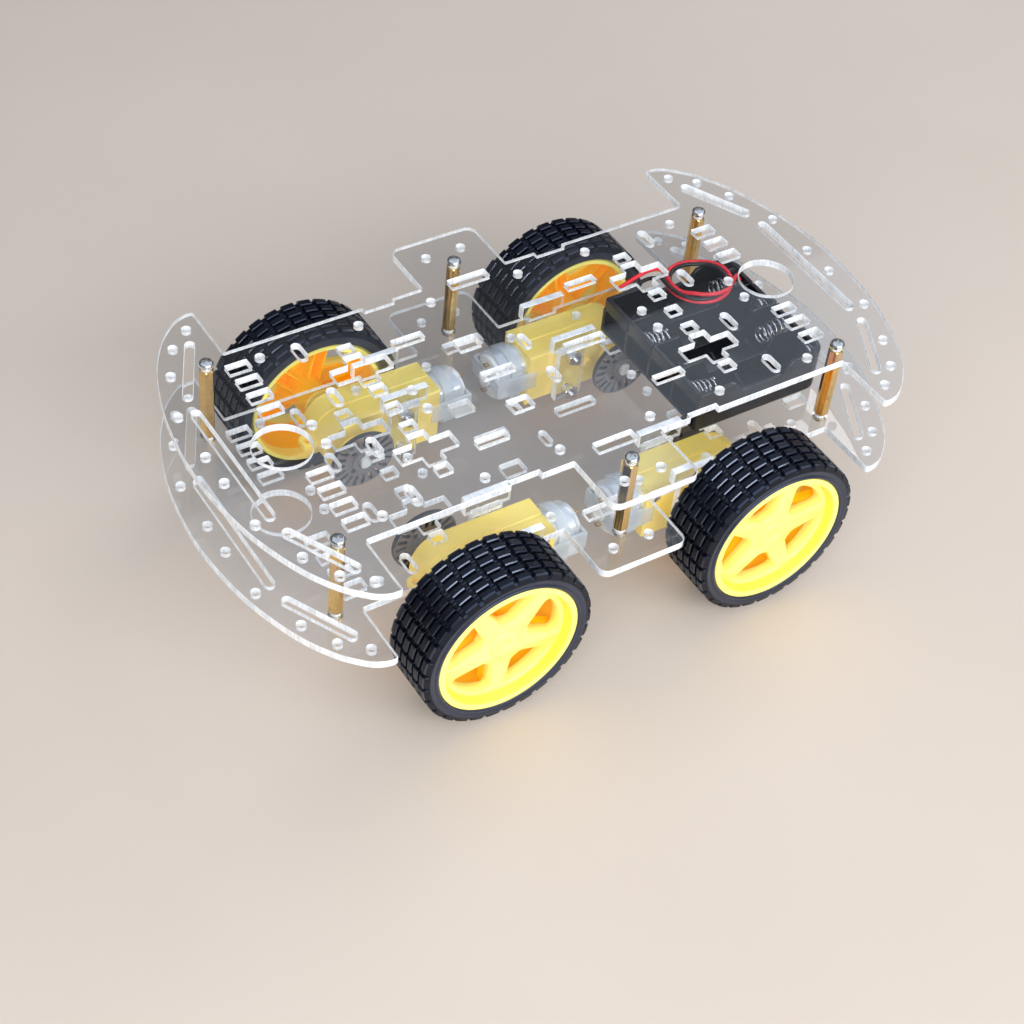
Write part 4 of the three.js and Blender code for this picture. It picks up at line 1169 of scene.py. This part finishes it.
# ---------------------------------------------------------------- battery holder
def build_tray():
    x0, x1, y, z0, z1 = TRAY["x0"], TRAY["x1"], TRAY["y"], TRAY["z0"], TRAY["z1"]
    R = 7.0

    def out_line(i=0.0):
        r = R - i
        pts = [(x0 + i, -y + i)]
        for k in range(9):
            t = math.radians(-90 + 90 * k / 8)
            pts.append((x1 - R + r * math.cos(t), -y + R + r * math.sin(t)))
        for k in range(9):
            t = math.radians(90 * k / 8)
            pts.append((x1 - R + r * math.cos(t), y - R + r * math.sin(t)))
        pts.append((x0 + i, y - i))
        return pts

    mats = [M["black"], M["black"]]
    parts = [sheet_from("p", out_line(), [ring(x0 + 18, 0, 1.6, 16), ring(x1 - 18, 0, 1.6, 16)], z0, z0 + 1.6, bevel=0.25, mats=mats)]
    # outer wall, lower along the middle of the two long sides
    parts.append(sheet_from("p", out_line(), [out_line(1.6)], z0 + 1.2, z0 + 11.2, bevel=0.3, mats=mats))
    pitch = 15.5
    for s in (-1, 1):
        yy = (y - 0.8) * s
        prof = [(x0 + 0.4, z0 + 10.6), (x0 + 0.4, z1), (x0 + 17.0, z1), (x0 + 20.5, z0 + 11.6), (x0 + 20.5, z0 + 10.6)]
        prof2 = [(x1 - 20.5, z0 + 10.6), (x1 - 20.5, z0 + 11.6), (x1 - 17.0, z1), (x1 - 6.8, z1), (x1 - 6.8, z0 + 10.6)]
        for p in (prof, prof2):
            parts.append(sheet_from("p", round_poly(p, 0.7, 2), [], -(yy + 0.8), -(yy - 0.8), bevel=0.25, mats=mats, xf=Y_UP))
    for sx, xe in ((-1, x0), (1, x1)):
        a, b = (xe, xe + 2.0) if sx < 0 else (xe - 2.0, xe)
        for i in range(4):
            cy = (i - 1.5) * pitch
            w = pitch - 0.9
            if sx > 0 and i in (0, 3):
                continue
            blk = rect((a + b) / 2, cy, b - a, w, 0.3, 2)
            parts.append(sheet_from("p", blk, [], z0 + 1.0, z1, bevel=0.3, mats=mats))
    # corner walls at the rounded end
    for s in (-1, 1):
        arc = []
        for k in range(9):
            t = math.radians(90 * k / 8)
            arc.append((x1 - R + R * math.cos(t), s * (y - R + R * math.sin(t))))
        inn = []
        for k in range(9):
            t = math.radians(90 - 90 * k / 8)
            inn.append((x1 - R + (R - 1.9) * math.cos(t), s * (y - R + (R - 1.9) * math.sin(t))))
        loop = [(x1, s * 15.95)] + arc + [(x1 - R, s * (y - 1.9))] + inn[1:] + [(x1 - 1.9, s * 15.95)]
        parts.append(sheet_from("p", loop, [], z0 + 1.0, z1, bevel=0.25, mats=mats))
    # dividers with a finger dip, and shallow cradle ribs across each bay
    for k in (-1, 0, 1):
        yy = k * pitch
        prof = [(x0 + 1.0, z0 + 1.0), (x1 - 1.0, z0 + 1.0), (x1 - 1.0, z1), (x1 - 13.0, z1), (x1 - 16.5, z0 + 8.6), (x0 + 16.5, z0 + 8.6), (x0 + 13.0, z1), (x0 + 1.0, z1)]
        parts.append(sheet_from("p", round_poly(prof, 0.8, 3), [], -(yy + 0.45), -(yy - 0.45), bevel=0.15, mats=mats, xf=Y_UP))
    for i in range(4):
        cy = (i - 1.5) * pitch
        for xr in (x0 + 14, x0 + 30, x0 + 46):
            prof = [(cy - 7.3, z0 + 1.2), (cy + 7.3, z0 + 1.2), (cy + 7.3, z0 + 3.6), (cy + 5.6, z0 + 2.5), (cy + 3.0, z0 + 1.95), (cy, z0 + 1.75), (cy - 3.0, z0 + 1.95), (cy - 5.6, z0 + 2.5), (cy - 7.3, z0 + 3.6)]
            X_UP = Matrix(((0, 0, 1, 0), (1, 0, 0, 0), (0, 1, 0, 0), (0, 0, 0, 1)))
            parts.append(sheet_from("p", prof, [], xr - 0.6, xr + 0.6, bevel=0.1, mats=mats, xf=X_UP))
    B = Build()
    for o in parts:
        k = len(B.v)
        for v in o.data.vertices:
            B.v.append(tuple(v.co / MM))
        for f in o.data.polygons:
            B.f.append([k + i for i in f.vertices])
            B.m.append(0)
            B.s.append(False)
        bpy.data.objects.remove(o)
    o = B.make("battery_holder", [M["black"]], weld=False)
    shade_by_angle(o, 35)
    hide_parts("battery_tray")
    # contacts: plates, conical springs, dimpled tabs and rivets
    S, P, V = Build(), Build(), Build()
    for i in range(4):
        cy = (i - 1.5) * pitch
        zc = z0 + 8.6
        for side, xe in ((0, x0 + 2.0), (1, x1 - 2.0)):
            sg = 1 if side == 0 else -1
            spring = (side == 0) == (i % 2 == 0)
            px = Matrix(((0, 0, sg, xe), (1, 0, 0, cy), (0, 1, 0, zc), (0, 0, 0, 1)))
            plate = sheet_from("p", rect(0, 0.2, 9.6, 9.4, 1.2, 4), [], 0.02, 0.42, bevel=0.1)
            k = len(P.v)
            for v in plate.data.vertices:
                P.v.append(tuple(px @ (v.co / MM)))
            for f in plate.data.polygons:
                P.f.append([k + q for q in f.vertices])
                P.m.append(0)
                P.s.append(False)
            bpy.data.objects.remove(plate)
            if spring:
                path = []
                turns = 4.6
                for q in range(int(turns * 18) + 1):
                    u = q / (turns * 18)
                    a = 2 * math.pi * turns * u
                    r = 4.8 - 1.9 * u
                    h = 0.85 + (10.2 * u ** 1.1)
                    path.append(px @ Vector((r * math.cos(a), r * math.sin(a) + 1.1, h)))
                for q in range(10):
                    a = 2 * math.pi * turns + 2 * math.pi * q / 14
                    r = 3.1
                    path.append(px @ Vector((r * math.cos(a), r * math.sin(a) + 1.1, 11.05 + 0.05 * q)))
                vs, fs = tube_mesh(path, 0.36, 8)
                S.add(vs, fs, 0, True)
            else:
                P.lathe([(0, 0.3), (3.3, 0.3), (3.0, 0.9), (2.0, 1.4), (0, 1.6)], 28, 0, True, px @ Matrix.Translation((0, 0.4, 0)))
            V.lathe([(0, 0.3), (1.5, 0.3), (1.5, 0.6), (1.2, 0.95), (0.7, 1.1), (0.55, 0.8), (0, 0.8)], 24, 0, True, px @ Matrix.Translation((0, -3.4 if not spring else 0.0, 0)))
    o = S.make("contact_springs", [M["spring"]], weld=False)
    o = P.make("contact_plates", [M["spring"]], weld=False)
    shade_by_angle(o, 30)
    o = V.make("contact_rivets", [M["rivet"]], weld=False)
    shade_by_angle(o, 30)


build_tray()

# ---------------------------------------------------------------- floor and light
def floor_mat():
    m, nt, out = new_mat("floor_pale")
    p = nd(nt, "ShaderNodeBsdfPrincipled")
    v = coords(nt)
    link(nt, ramp(nt, noise_tex(nt, v, 6, 3), [(0.3, (0.585, 0.500, 0.425)), (0.7, (0.605, 0.520, 0.445))]), p.inputs["Base Color"])
    link(nt, ramp(nt, noise_tex(nt, v, 300, 3), [(0.3, grey(0.7)), (0.7, grey(0.8))]), p.inputs["Roughness"])
    p.inputs["Specular IOR Level"].default_value = 0.25
    link(nt, p.outputs[0], out.inputs["Surface"])
    return m


fm = bpy.data.meshes.new("floor")
fm.from_pydata([(-4, -4, 0), (4, -4, 0), (4, 4, 0), (-4, 4, 0)], [], [(0, 1, 2, 3)])
fm.materials.append(floor_mat())
floor = bpy.data.objects.new("floor", fm)
scene.collection.objects.link(floor)

world = bpy.data.worlds.new("studio")
scene.world = world
world.use_nodes = True
world.node_tree.nodes["Background"].inputs["Color"].default_value = (0.86, 0.90, 1.0, 1)
world.node_tree.nodes["Background"].inputs["Strength"].default_value = 0.12


def area(name, loc, target, size, power, color=(1, 1, 1), glossy=True, size_y=None):
    L = bpy.data.lights.new(name, "AREA")
    L.energy = power
    L.color = color
    L.shape = "RECTANGLE"
    L.size = size
    L.size_y = size_y or size
    o = bpy.data.objects.new(name, L)
    scene.collection.objects.link(o)
    o.location = loc
    dirv = Vector(target) - Vector(loc)
    o.rotation_euler = dirv.to_track_quat("-Z", "Y").to_euler()
    o.visible_glossy = glossy
    return o


# overhead softbox: its far edge ends in a line along X, which the upper sheet mirrors
H = 1.15
edge_y = 0.002 + 0.94 * (H - 0.0816)
depth = 2.6
top = area("overhead_softbox", (0.25, edge_y - depth / 2, H), (0.25, edge_y - depth / 2, 0), 3.2, 20, (0.72, 0.83, 1.0), True, depth)
top.rotation_euler = (0, 0, 0)
area("key_left", (-0.95, -0.85, 0.75), (0, 0, 0.04), 0.9, 11, (1.0, 0.985, 0.96), False)
area("front_fill", (0.08, -1.28, 0.78), (0, 0, 0.04), 1.7, 21, (0.96, 0.98, 1.0), True, 0.55)
area("rim_right", (1.25, 0.55, 0.95), (0, 0, 0.04), 0.8, 7, (1.0, 1.0, 1.0), False)
scene.view_settings.view_transform = "Standard"
scene.view_settings.look = "None"
